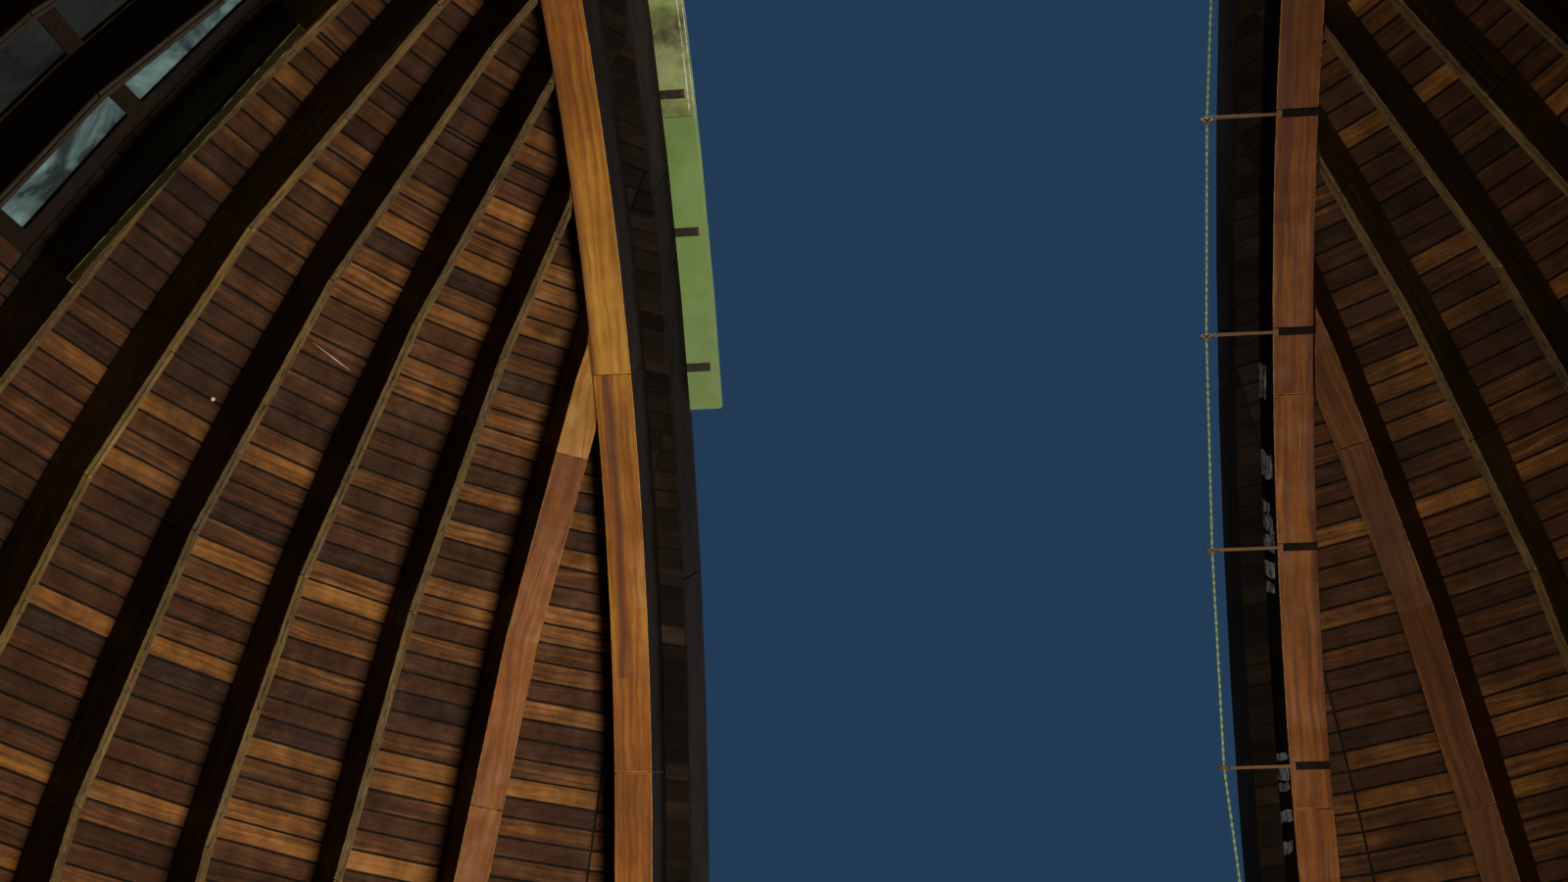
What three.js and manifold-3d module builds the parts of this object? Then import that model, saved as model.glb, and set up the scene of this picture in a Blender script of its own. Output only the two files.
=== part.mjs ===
// Observatory dome: a timber dome on a round drum, with an open slit, sliding leaves and a rope guide.
// Millimetres, +Z up. The origin is the centre of the drum at ground level, and the slit faces +Y.
import * as THREE from 'three';
import { mergeVertices } from 'three/addons/utils/BufferGeometryUtils.js';
import Module from 'manifold-3d';

const wasm = await Module();
wasm.setup();

// Fits
const gap = 0.3;
const runningGap = 0.5;

// Dome sphere, measured from its centre at springing height
const ribInner = 4080;
const boardInner = 4390;
const shellThickness = 40;
const shellOuter = boardInner + shellThickness;
const facetAngle = 7.5;
const shellTopElevation = 75;
const shellFootElevation = -0.5;

// Thin ribs stand every facetAngle, one heavy rib stands on each side of the slit
const ribThickness = 34;
const ribPlankAngle = 15;
const heavyRibWidth = 136;
const heavyRibAzimuth = 30;
const backRibAzimuth = 165;

// Slit arches, in planes x = constant
const archRadius = 3850;
const archInnerX = 1278;
const archOuterX = 1435;
const archStep = 4.3;

// Slit, its raised curbs and its head behind the zenith
const slitHalfWidth = 1183;
const curbWidth = 70;
const curbTop = 4732;
const headAngle = 109;
const headBeamStart = 0.1;
const headBeamAngle = 2.2;
const headCurbAngle = 1.4;
const sillHeight = 90;

// Leaves slide sideways on bars that lie on the curbs and on runways outside them
const leafJointAngle = 45.2;
const leafHeadAngle = 110.6;
const leafFootAngle = 5;
const leafEndGapAngle = 0.2;
const leafWidth = 1337;
const leafThickness = 40;
const leafStileRise = 25;
const leafStileWidth = 60;
const leftLeafEdge = 1043;
const parkedLeafEdge = 1190;
const barPhaseAngle = 43.8;
const barWidth = 36;
const barThickness = 12;
const barInset = 35;
const stringerWidth = 60;
const runwayEnd = 2560;
const runwayBeam = 90;
const runwayPostX = 2440;
const runwayTieDrop = 170;
const runwayBeams = [0, 4, 5, 8, 11, 13];

// Rope guide on the right arch
const ropeRadius = 8;
const ropeX = 1018;
const ropeInPlaneRadius = 3812;
const firstRodAngle = 24.5;
const rodCount = 5;
const rodAngles = Array.from({ length: rodCount }, (_, i) => firstRodAngle + 3 * archStep * i);
const rodThickness = 12;
const strapWidth = 30;
const strapThickness = 8;
const eyeOuter = 24;
const eyeInner = 14;
const ropeSides = 6;
const ropeFoot = { x: 1110, y: 3970, z: 30 };
const ropeHead = { x: 1018, radius: 3960 };
const cleatSize = 60;

// Skylight in the left of the dome, two bays wide
const skylightAzimuths = [-81.4, -68.6];
const skylightElevations = [37.5, 54.4];
const skylightMiddle = -75;
const skylightBarElevation = 46;
const skylightFrameAngle = 0.9;
const skylightFrameRise = 20;
const skylightGlassThickness = 6;
const stileAzimuth = -67.5;
const stileElevations = [37.5, 54.4];
const stileWidth = 34;
const stileDepth = 40;

// Ring under the ribs, its rail and its weather skirt
const ringInner = 4070;
const ringOuter = 4474;
const ringHeight = 120;
const ringTopBelowSpring = 39;
const ribSillTop = 20;
const sillClearance = 2;
const railInner = 4215;
const railOuter = 4275;
const railHeight = 40;
const skirtThickness = 8;
const skirtDrop = 90;

// Drum wall, wall plate and rollers
const wallInner = 4100;
const wallOuter = 4450;
const wallHeight = 2700;
const wallFacets = 96;
const plateInner = 4120;
const plateOuter = 4400;
const plateHeight = 80;
const rollerCount = 8;
const rollerRadius = 120;
const rollerWidth = 60;
const rollerFootGap = 30;
const cheekThickness = 14;
const cheekWidth = 110;
const cheekTop = 30;
const axleRadius = 16;

// Doorway at the back of the drum
const doorwayWidth = 1120;
const doorwayHeight = 2170;
const frameWidth = 60;
const frameDepth = 140;
const doorThickness = 45;
const doorGap = 3;
const stepHeight = 120;
const stepWidth = 1500;
const stepFront = 4795.9;

// Heights worked out from the stack on the wall
const plateTop = wallHeight + gap + plateHeight;
const rollerAxis = plateTop + rollerFootGap + rollerRadius;
const railBottom = rollerAxis + rollerRadius + runningGap;
const ringBottom = railBottom + railHeight + gap;
const ringTop = ringBottom + ringHeight;
const springHeight = ringTop + ringTopBelowSpring;

const finish = (color, roughness, metalness) => new THREE.MeshStandardMaterial({ color, roughness, metalness });
const finishes = {
  boards: finish(0x6b3f24, 0.75, 0),
  ribs: finish(0x8a5a34, 0.7, 0),
  archWood: finish(0xc48a4a, 0.6, 0),
  darkWood: finish(0x2e211a, 0.8, 0),
  ring: finish(0x4a3324, 0.75, 0),
  leafPaint: finish(0x9fb58c, 0.45, 0),
  iron: finish(0x33302d, 0.55, 0.8),
  rodWood: finish(0x8a6a45, 0.6, 0.2),
  rope: finish(0x8fae93, 0.8, 0),
  glass: finish(0xa9c3cf, 0.35, 0),
  stile: finish(0x77793f, 0.6, 0),
  masonry: finish(0x8c4a36, 0.9, 0),
  stone: finish(0xa39c8e, 0.85, 0),
  doorPaint: finish(0x3f5245, 0.5, 0),
  skirtMetal: finish(0x7d8a86, 0.45, 0.5),
};

const radians = THREE.MathUtils.degToRad;

// The turn in degrees, towards the slit, that opens a gap at a radius
const gapTurn = (radius) => THREE.MathUtils.radToDeg(gap / radius);

// Turns a closed geometry into a solid whose faces point outwards
function solidOf(source) {
  const bare = source.index ? source.toNonIndexed() : source.clone();
  bare.deleteAttribute('normal');
  bare.deleteAttribute('uv');
  const merged = mergeVertices(bare, 1e-4);
  const vertProperties = new Float32Array(merged.attributes.position.array);
  const triVerts = new Uint32Array(merged.index.array);
  const a = new THREE.Vector3();
  const b = new THREE.Vector3();
  const c = new THREE.Vector3();
  let volume = 0;
  for (let i = 0; i < triVerts.length; i += 3) {
    a.fromArray(vertProperties, 3 * triVerts[i]);
    b.fromArray(vertProperties, 3 * triVerts[i + 1]);
    c.fromArray(vertProperties, 3 * triVerts[i + 2]);
    volume += a.dot(b.cross(c));
  }
  if (volume < 0) {
    for (let i = 0; i < triVerts.length; i += 3) {
      const keep = triVerts[i];
      triVerts[i] = triVerts[i + 1];
      triVerts[i + 1] = keep;
    }
  }
  return new wasm.Manifold(new wasm.Mesh({ numProp: 3, vertProperties, triVerts }));
}

function geometryOf(solid) {
  const data = solid.getMesh();
  const geometry = new THREE.BufferGeometry();
  geometry.setAttribute('position', new THREE.BufferAttribute(new Float32Array(data.vertProperties), 3));
  geometry.setIndex(new THREE.BufferAttribute(new Uint32Array(data.triVerts), 1));
  geometry.computeVertexNormals();
  return geometry;
}

const joined = (solids) => solids.reduce((sum, next) => sum.add(next));

function boxSolid(x0, x1, y0, y1, z0, z1) {
  const box = new THREE.BoxGeometry(x1 - x0, y1 - y0, z1 - z0);
  box.translate((x0 + x1) / 2, (y0 + y1) / 2, (z0 + z1) / 2);
  return solidOf(box);
}

// A point on a sphere round the dome's centre: azimuth from +Y towards +X, elevation from the horizon
function onSphere(azimuth, elevation, radius) {
  const a = radians(azimuth);
  const e = radians(elevation);
  return new THREE.Vector3(
    radius * Math.cos(e) * Math.sin(a),
    radius * Math.cos(e) * Math.cos(a),
    radius * Math.sin(e),
  );
}

// Every angle from start to end that lies on a grid, with both ends
function gridAngles(start, end, step) {
  const angles = [start];
  for (let k = Math.floor(start / step) + 1; k * step < end; k += 1) {
    if (k * step > start) angles.push(k * step);
  }
  angles.push(end);
  return angles;
}

// A curved block of the sphere between two azimuths, two elevations and two radii
function sphereBlock(azimuths, elevations, innerRadius, outerRadius) {
  const box = new THREE.BoxGeometry(1, 1, 1, azimuths.length - 1, elevations.length - 1, 1);
  const position = box.attributes.position;
  for (let i = 0; i < position.count; i += 1) {
    const column = Math.round((position.getX(i) + 0.5) * (azimuths.length - 1));
    const row = Math.round((position.getY(i) + 0.5) * (elevations.length - 1));
    const radius = position.getZ(i) > 0 ? outerRadius : innerRadius;
    const point = onSphere(azimuths[column], elevations[row], radius);
    position.setXYZ(i, point.x, point.y, point.z);
  }
  return solidOf(box);
}

// The whole faceted dome as one solid, for cutting what lies against it
function domeSolid(radius) {
  const profile = [new THREE.Vector2(0, radius * Math.sin(radians(shellFootElevation)))];
  for (const elevation of gridAngles(shellFootElevation, 90, facetAngle)) {
    const e = radians(elevation);
    const across = elevation === 90 ? 0 : radius * Math.cos(e);
    profile.push(new THREE.Vector2(across, radius * Math.sin(e)));
  }
  const lathe = new THREE.LatheGeometry(profile, 360 / facetAngle);
  lathe.rotateX(Math.PI / 2);
  return solidOf(lathe);
}

// A flat ring or disc with its polygon corners on the facet grid, round the vertical axis
function ringSolid(innerRadius, outerRadius, bottom, top, facets) {
  const profile = [
    new THREE.Vector2(innerRadius, bottom),
    new THREE.Vector2(outerRadius, bottom),
    new THREE.Vector2(outerRadius, top),
    new THREE.Vector2(innerRadius, top),
    new THREE.Vector2(innerRadius, bottom),
  ];
  const lathe = new THREE.LatheGeometry(profile, facets);
  lathe.rotateX(Math.PI / 2);
  return solidOf(lathe);
}

// A vertical wedge from the axis between two azimuths
function wedgeSolid(azimuths, bottom, top, reach) {
  const shape = new THREE.Shape();
  shape.moveTo(0, 0);
  for (const azimuth of azimuths) {
    const a = radians(azimuth);
    shape.lineTo(reach * Math.sin(a), reach * Math.cos(a));
  }
  const block = new THREE.ExtrudeGeometry(shape, { depth: top - bottom, bevelEnabled: false });
  block.translate(0, 0, bottom);
  return solidOf(block);
}

// Extrudes an outline drawn in the y-z plane along x
function crossSlab(points, x0, x1) {
  const block = new THREE.ExtrudeGeometry(new THREE.Shape(points), { depth: x1 - x0, bevelEnabled: false });
  block.translate(0, 0, x0);
  const turn = new THREE.Matrix4();
  turn.makeBasis(new THREE.Vector3(0, 1, 0), new THREE.Vector3(0, 0, 1), new THREE.Vector3(1, 0, 0));
  block.applyMatrix4(turn);
  return solidOf(block);
}

const inPlane = (angle, radius) => new THREE.Vector2(
  radius * Math.cos(radians(angle)),
  radius * Math.sin(radians(angle)),
);

// A ring sector in the y-z plane, with corners at the angles given
function sectorPoints(angles, innerRadius, outerRadius) {
  const outer = angles.map((angle) => inPlane(angle, outerRadius));
  const inner = angles.map((angle) => inPlane(angle, innerRadius));
  return outer.concat(inner.reverse());
}

function mirrored(solid) {
  return solid.mirror([1, 0, 0]);
}

// Corner angles of the curbs and leaves, so that each slide bar lies on the middle of a flat
function leafAngles(start, end) {
  const angles = [start];
  const first = Math.ceil((start - barPhaseAngle) / facetAngle);
  for (let k = first; barPhaseAngle + k * facetAngle < end; k += 1) {
    const angle = barPhaseAngle + k * facetAngle;
    if (angle > start) angles.push(angle);
  }
  angles.push(end);
  return angles;
}

// A ring sector like the one above, on the flats of the curbs: the distances are those of the flats
function flatSectorPoints(angles, innerFlat, outerFlat) {
  const radiusAt = (angle, flatDistance) => {
    const flat = Math.floor((angle - barPhaseAngle) / facetAngle + 1e-6);
    const middle = barPhaseAngle + (flat + 0.5) * facetAngle;
    return flatDistance / Math.cos(radians(angle - middle));
  };
  const outer = angles.map((angle) => inPlane(angle, radiusAt(angle, outerFlat)));
  const inner = angles.map((angle) => inPlane(angle, radiusAt(angle, innerFlat)));
  return outer.concat(inner.reverse());
}

const innerDome = domeSolid(boardInner - gap);
const outerDome = domeSolid(shellOuter + gap);
const slitCut = crossSlab(
  [new THREE.Vector2(0, 0), inPlane(-20, 9000), inPlane(45, 9000), inPlane(headAngle, 9000)],
  -slitHalfWidth,
  slitHalfWidth,
);

const dome = new THREE.Group();
dome.position.z = springHeight;
const drum = new THREE.Group();

function addPiece(group, name, solid, material) {
  const mesh = new THREE.Mesh(geometryOf(solid), material);
  mesh.name = name;
  group.add(mesh);
}

// The block of shell that the skylight takes up, drawn in on every side by an angle
function skylightBlock(inset, innerRadius, outerRadius) {
  const [left, right] = skylightAzimuths;
  const [low, high] = skylightElevations;
  const azimuths = gridAngles(left + inset, right - inset, facetAngle);
  const elevations = gridAngles(low + inset, high - inset, facetAngle);
  return sphereBlock(azimuths, elevations, innerRadius, outerRadius);
}

// Shell: boards inside and sheet metal outside, in five segments that meet on the ribs
function addShell() {
  const seam = gapTurn(boardInner) / 2;
  const segments = {
    shell_left_front: [-90, -15],
    shell_left_back: [-150, -90],
    shell_back: [150, 210],
    shell_right_back: [90, 150],
    shell_right_front: [15, 90],
  };
  const elevations = gridAngles(shellFootElevation, shellTopElevation, facetAngle);
  const skylightHole = skylightBlock(0, boardInner - 200, shellOuter + 200);
  for (const [name, [start, end]] of Object.entries(segments)) {
    const azimuths = gridAngles(start + seam, end - seam, facetAngle);
    let shell = sphereBlock(azimuths, elevations, boardInner, shellOuter).subtract(slitCut);
    if (name === 'shell_left_front') shell = shell.subtract(skylightHole);
    addPiece(dome, name, shell, finishes.boards);
  }
}

// One rib as a plank standing in its meridian plane, with straight planks along its inner edge
function ribSolid(azimuth, width) {
  const outerRadius = boardInner - gap - Math.tan(radians(facetAngle / 2)) * width / 2;
  const outer = gridAngles(0, shellTopElevation + facetAngle, facetAngle);
  const inner = gridAngles(0, shellTopElevation + facetAngle, ribPlankAngle);
  const points = [new THREE.Vector2(ribInner, -ringTopBelowSpring + gap)];
  points.push(new THREE.Vector2(outerRadius, -ringTopBelowSpring + gap));
  for (const angle of outer) points.push(inPlane(angle, outerRadius));
  for (const angle of inner.reverse()) points.push(inPlane(angle, ribInner));
  const plank = new THREE.ExtrudeGeometry(new THREE.Shape(points), { depth: width, bevelEnabled: false });
  plank.translate(0, 0, -width / 2);
  const a = radians(azimuth);
  const turn = new THREE.Matrix4();
  turn.makeBasis(
    new THREE.Vector3(Math.sin(a), Math.cos(a), 0),
    new THREE.Vector3(0, 0, 1),
    new THREE.Vector3(Math.cos(a), -Math.sin(a), 0),
  );
  plank.applyMatrix4(turn);
  return solidOf(plank);
}

// A stretch of the sill that carries a group of ribs
function sillSolid(start, end) {
  const height = -ringTopBelowSpring + gap;
  const ring = ringSolid(ribInner + 5, boardInner - sillClearance, height, ribSillTop, 360 / facetAngle);
  const wedge = wedgeSolid(gridAngles(start, end, facetAngle), height - 10, ribSillTop + 10, 9000);
  return ring.intersect(wedge);
}

function addRibs() {
  const farAngle = [inPlane(-20, 9000), inPlane(45, 9000), inPlane(110, 9000), inPlane(200, 9000)];
  const archRoom = crossSlab(farAngle, -archOuterX - gap, archOuterX + gap);
  const clearAngle = 1.2;
  const groups = {
    ribs_left_front: [-90, -37.5],
    ribs_left_back: [-150, -97.5],
    ribs_right_back: [97.5, 150],
    ribs_right_front: [37.5, 90],
  };
  for (const [name, [start, end]] of Object.entries(groups)) {
    const solids = [sillSolid(start - clearAngle, end + clearAngle)];
    for (let azimuth = start; azimuth <= end; azimuth += facetAngle) {
      solids.push(ribSolid(azimuth, ribThickness));
    }
    addPiece(dome, name, joined(solids).subtract(archRoom), finishes.ribs);
  }
  const headRoomAngle = headAngle + headBeamAngle + 0.4;
  const headRoom = crossSlab(
    [new THREE.Vector2(0, -500), inPlane(-20, 9000), inPlane(45, 9000), inPlane(headRoomAngle, 9000)],
    -archOuterX,
    archOuterX,
  );
  const back = [sillSolid(backRibAzimuth - clearAngle, 360 - backRibAzimuth + clearAngle)];
  for (let azimuth = backRibAzimuth; azimuth <= 360 - backRibAzimuth; azimuth += facetAngle) {
    back.push(ribSolid(azimuth, ribThickness));
  }
  addPiece(dome, 'ribs_back', joined(back).subtract(headRoom), finishes.ribs);
  const heavy = ribSolid(heavyRibAzimuth, heavyRibWidth).subtract(archRoom);
  addPiece(dome, 'front_rib_right', heavy, finishes.archWood);
  addPiece(dome, 'front_rib_left', mirrored(heavy), finishes.archWood);
}

// Corner angles of the arches, so that each rope rod lies on the middle of a flat
function archAngles() {
  const angles = [0];
  const firstCorner = firstRodAngle - 4.5 * archStep;
  for (let angle = firstCorner; angle < 180 - archStep / 2; angle += archStep) angles.push(angle);
  angles.push(180);
  return angles;
}

// The two main arches run from the ring in front over the top to the ring behind
function addArches() {
  const foot = -ringTopBelowSpring + gap;
  const angles = archAngles();
  const points = sectorPoints(angles, archRadius, boardInner);
  points.unshift(new THREE.Vector2(boardInner, foot));
  points.splice(angles.length + 1, 0, new THREE.Vector2(-boardInner, foot), new THREE.Vector2(-archRadius, foot));
  points.push(new THREE.Vector2(archRadius, foot));
  const arch = crossSlab(points, archInnerX, archOuterX).intersect(innerDome);
  addPiece(dome, 'slit_arch_right', arch, finishes.archWood);
  addPiece(dome, 'slit_arch_left', mirrored(arch), finishes.archWood);
  const beamAngles = [headAngle + headBeamStart, headAngle + headBeamAngle];
  const beam = crossSlab(sectorPoints(beamAngles, archRadius + 20, boardInner + 50), -archInnerX + gap, archInnerX - gap);
  addPiece(dome, 'head_beam', beam.intersect(innerDome), finishes.darkWood);
}

// Raised curbs on both sides of the slit, with a head behind and a sill in front
function addCurbs() {
  const angles = leafAngles(0, headAngle + headCurbAngle);
  const outline = flatSectorPoints(angles, ribInner, curbTop);
  const curb = crossSlab(outline, slitHalfWidth, slitHalfWidth + curbWidth).subtract(outerDome);
  addPiece(dome, 'slit_curb_right', curb, finishes.darkWood);
  addPiece(dome, 'slit_curb_left', mirrored(curb), finishes.darkWood);
  const headAngles = [headAngle, headAngle + headCurbAngle];
  const head = crossSlab(
    sectorPoints(headAngles, ribInner, curbTop - 20),
    -slitHalfWidth + gap,
    slitHalfWidth - gap,
  );
  addPiece(dome, 'head_curb', head.subtract(outerDome), finishes.darkWood);
  const sill = boxSolid(
    -slitHalfWidth + gap,
    slitHalfWidth - gap,
    boardInner,
    curbTop - 20,
    -ringTopBelowSpring + gap,
    sillHeight,
  );
  addPiece(dome, 'slit_sill', sill, finishes.darkWood);
}

// One leaf: a curved panel with a raised stile along both long edges, drawn for the right side
function leafSolid(closingEdge, angles) {
  const underside = curbTop + barThickness + gap + runningGap;
  const top = underside + leafThickness;
  const outerEdge = closingEdge + leafWidth;
  const panel = crossSlab(flatSectorPoints(angles, underside, top), closingEdge, outerEdge);
  const stileOutline = flatSectorPoints(angles, top - 1, top + leafStileRise);
  const stiles = [[closingEdge, closingEdge + leafStileWidth], [outerEdge - leafStileWidth, outerEdge]];
  return joined([panel].concat(stiles.map(([x0, x1]) => crossSlab(stileOutline, x0, x1))));
}

// A bar along x at an angle of the curb, between two distances from the dome's centre line
function barSolid(angle, x0, x1, inner, outer, width) {
  const bar = new THREE.BoxGeometry(x1 - x0, outer - inner, width);
  bar.rotateX(Math.PI / 2);
  const turn = radians(angle);
  bar.translate((x0 + x1) / 2, 0, 0);
  bar.rotateX(-Math.PI / 2);
  bar.translate(0, (inner + outer) / 2, 0);
  bar.rotateX(turn);
  return solidOf(bar);
}

function barAngles(start, end) {
  const angles = [];
  const first = Math.ceil((start - barPhaseAngle) / facetAngle - 0.5);
  for (let k = first; barPhaseAngle + (k + 0.5) * facetAngle < end; k += 1) {
    angles.push(barPhaseAngle + (k + 0.5) * facetAngle);
  }
  return angles;
}

// The slide bars under a leaf, joined by a stringer that runs along the leaf between curb and skirt
function slidesSolid(closingEdge, start, end) {
  const bottom = curbTop + runningGap;
  const top = bottom + barThickness;
  const bars = barAngles(start, end).map((angle) => (
    barSolid(angle, closingEdge + barInset, closingEdge + leafWidth - barInset, bottom, top, barWidth)
  ));
  const stringerX = closingEdge + leafWidth - barInset - stringerWidth;
  const angles = leafAngles(start + 1, end - 1);
  const stringer = crossSlab(
    flatSectorPoints(angles, bottom, top),
    stringerX,
    stringerX + stringerWidth,
  );
  return joined(bars.concat(stringer));
}

function addLeaves() {
  const upper = leafAngles(leafJointAngle, leafHeadAngle);
  const lower = leafAngles(leafFootAngle, leafJointAngle - leafEndGapAngle);
  addPiece(dome, 'leaf_left', mirrored(leafSolid(leftLeafEdge, upper)), finishes.leafPaint);
  addPiece(dome, 'leaf_right', leafSolid(parkedLeafEdge, upper), finishes.leafPaint);
  addPiece(dome, 'leaf_left_slides', mirrored(slidesSolid(leftLeafEdge, leafJointAngle, leafHeadAngle)), finishes.iron);
  addPiece(dome, 'leaf_right_slides', slidesSolid(parkedLeafEdge, leafJointAngle, leafHeadAngle), finishes.iron);
  const lowerSlides = slidesSolid(parkedLeafEdge, leafFootAngle, leafJointAngle - leafEndGapAngle);
  const lowerLeaf = leafSolid(parkedLeafEdge, lower);
  addPiece(dome, 'lower_leaf_right', lowerLeaf, finishes.leafPaint);
  addPiece(dome, 'lower_leaf_left', mirrored(lowerLeaf), finishes.leafPaint);
  addPiece(dome, 'lower_leaf_right_slides', lowerSlides, finishes.iron);
  addPiece(dome, 'lower_leaf_left_slides', mirrored(lowerSlides), finishes.iron);
}

// Runways: beams that lead outwards from each curb, tied by a curved beam and standing on posts
function addRunways() {
  const top = curbTop;
  const angles = barAngles(leafFootAngle, leafHeadAngle);
  const beamAngles = runwayBeams.map((i) => angles[i]);
  const start = slitHalfWidth + curbWidth + gap;
  const solids = [];
  for (const angle of beamAngles) {
    solids.push(barSolid(angle, start, runwayEnd, top - runwayBeam, top, runwayBeam));
    const postFoot = ribInner * 0.8;
    solids.push(barSolid(angle, runwayPostX, runwayPostX + runwayBeam, postFoot, top - 1, runwayBeam));
  }
  const tie = crossSlab(
    flatSectorPoints(leafAngles(angles[0], angles[13]), top - runwayTieDrop - runwayBeam, top - runwayTieDrop),
    runwayPostX + 10,
    runwayPostX + runwayBeam - 10,
  );
  solids.push(tie);
  const runway = joined(solids).subtract(outerDome);
  addPiece(dome, 'runway_right', runway, finishes.iron);
  addPiece(dome, 'runway_left', mirrored(runway), finishes.iron);
}

// Rods on the right arch that carry the rope in eyes at their ends
function rodSolid(angle) {
  const face = archRadius * Math.cos(radians(archStep / 2)) - gap;
  const strap = barSolid(angle, archInnerX, archOuterX, face - strapThickness, face, strapWidth);
  const rod = barSolid(angle, ropeX + eyeInner, archInnerX + 20, face - strapThickness, face, rodThickness);
  const outline = new THREE.Shape();
  outline.absarc(0, 0, eyeOuter, 0, 2 * Math.PI);
  const hole = new THREE.Path();
  hole.absarc(0, 0, eyeInner, 0, 2 * Math.PI, true);
  outline.holes.push(hole);
  const eye = new THREE.ExtrudeGeometry(outline, { depth: rodThickness, bevelEnabled: false, curveSegments: 8 });
  eye.translate(0, 0, -rodThickness / 2);
  eye.translate(ropeX, ropeInPlaneRadius, 0);
  eye.rotateX(radians(angle));
  const reach = barSolid(angle, ropeX - 6, ropeX + 6, ropeInPlaneRadius + eyeInner + 2, face - 1, rodThickness);
  const side = barSolid(angle, ropeX, ropeX + eyeInner + 20, face - strapThickness, face, rodThickness);
  return joined([strap, rod, solidOf(eye), reach, side]);
}

// The rope is tied down on the ring in front and to the head beam behind, and it is taut between them
function addRope() {
  rodAngles.forEach((angle, i) => addPiece(dome, `rope_rod_${i + 1}`, rodSolid(angle), finishes.rodWood));
  const points = [new THREE.Vector3(ropeFoot.x, ropeFoot.y, ropeFoot.z)];
  for (const angle of rodAngles) {
    const eye = inPlane(angle, ropeInPlaneRadius);
    points.push(new THREE.Vector3(ropeX, eye.x, eye.y));
  }
  const head = inPlane(headAngle + headBeamStart, ropeHead.radius);
  points.push(new THREE.Vector3(ropeHead.x, head.x, head.y));
  const stretches = [];
  for (let i = 0; i + 1 < points.length; i += 1) {
    const along = points[i + 1].clone().sub(points[i]);
    const tube = new THREE.CylinderGeometry(ropeRadius, ropeRadius, along.length() + 1.5, ropeSides);
    tube.applyQuaternion(new THREE.Quaternion().setFromUnitVectors(new THREE.Vector3(0, 1, 0), along.normalize()));
    const middle = points[i].clone().add(points[i + 1]).multiplyScalar(0.5);
    tube.translate(middle.x, middle.y, middle.z);
    stretches.push(solidOf(tube));
  }
  const cleatTop = ropeFoot.z - ropeRadius;
  const beamFaceAngle = headAngle + headBeamStart - gapTurn(ropeHead.radius - 100);
  const beyondBeam = crossSlab(
    [new THREE.Vector2(0, 0), inPlane(beamFaceAngle, 9000), inPlane(beamFaceAngle + 20, 9000)],
    0,
    9000,
  );
  const below = boxSolid(0, 9000, 0, 9000, -9000, cleatTop);
  addPiece(dome, 'leaf_rope', joined(stretches).subtract(below).subtract(beyondBeam), finishes.rope);
  const half = cleatSize / 2;
  const cleat = boxSolid(
    ropeFoot.x - half,
    ropeFoot.x + half,
    ropeFoot.y - half,
    ropeFoot.y + half,
    -ringTopBelowSpring + gap,
    cleatTop - gap,
  );
  addPiece(dome, 'rope_cleat', cleat, finishes.iron);
}

// Skylight: a frame in the shell with a sheet of glass in it, and a straight stile beside the rib
function addSkylight() {
  const seam = 1.5 * gapTurn(boardInner);
  const [left, right] = skylightAzimuths;
  const [low, high] = skylightElevations;
  const bar = skylightFrameAngle / 2;
  const frame = skylightBlock(seam, boardInner, shellOuter + skylightFrameRise);
  const panes = [];
  for (const [from, to] of [[left + bar, skylightMiddle], [skylightMiddle, right - bar]]) {
    for (const [bottom, top] of [[low + bar, skylightBarElevation], [skylightBarElevation, high - bar]]) {
      const azimuths = [from + bar, to - bar];
      const elevations = [bottom + bar, top - bar];
      panes.push(sphereBlock(azimuths, elevations, boardInner - 300, shellOuter + 300));
    }
  }
  const glassInner = shellOuter - 2 * skylightGlassThickness;
  const glassSpace = skylightBlock(bar, glassInner - gap, glassInner + skylightGlassThickness + gap);
  const glass = skylightBlock(bar + seam, glassInner, glassInner + skylightGlassThickness);
  addPiece(dome, 'skylight_frame', frame.subtract(joined(panes)).subtract(glassSpace), finishes.darkWood);
  addPiece(dome, 'skylight_glass', glass, finishes.glass);
  const footPoint = onSphere(stileAzimuth, stileElevations[0], ribInner);
  const headPoint = onSphere(stileAzimuth, stileElevations[1], ribInner);
  const along = headPoint.clone().sub(footPoint);
  const middle = footPoint.clone().add(headPoint).multiplyScalar(0.5);
  const stile = new THREE.BoxGeometry(stileWidth, along.length(), stileDepth);
  const up = along.clone().normalize();
  const outward = middle.clone().addScaledVector(up, -middle.dot(up)).normalize();
  const across = up.clone().cross(outward);
  stile.translate((stileWidth + ribThickness) / 2 + gap, 0, 0);
  stile.applyMatrix4(new THREE.Matrix4().makeBasis(across, up, outward));
  stile.translate(middle.x, middle.y, middle.z);
  addPiece(dome, 'skylight_stile', solidOf(stile), finishes.stile);
}

// Ring, rail and weather skirt
function addRing() {
  const facets = 360 / facetAngle;
  const top = -ringTopBelowSpring;
  const bottom = top - ringHeight;
  addPiece(dome, 'dome_ring', ringSolid(ringInner, ringOuter, bottom, top, facets), finishes.ring);
  const rail = ringSolid(railInner, railOuter, bottom - gap - railHeight, bottom - gap, facets);
  addPiece(dome, 'ring_rail', rail, finishes.iron);
  const skirtBottom = wallHeight - skirtDrop - springHeight;
  const skirt = ringSolid(ringOuter + gap, ringOuter + gap + skirtThickness, skirtBottom, top, facets);
  addPiece(dome, 'dome_skirt', skirt, finishes.skirtMetal);
}

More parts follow.
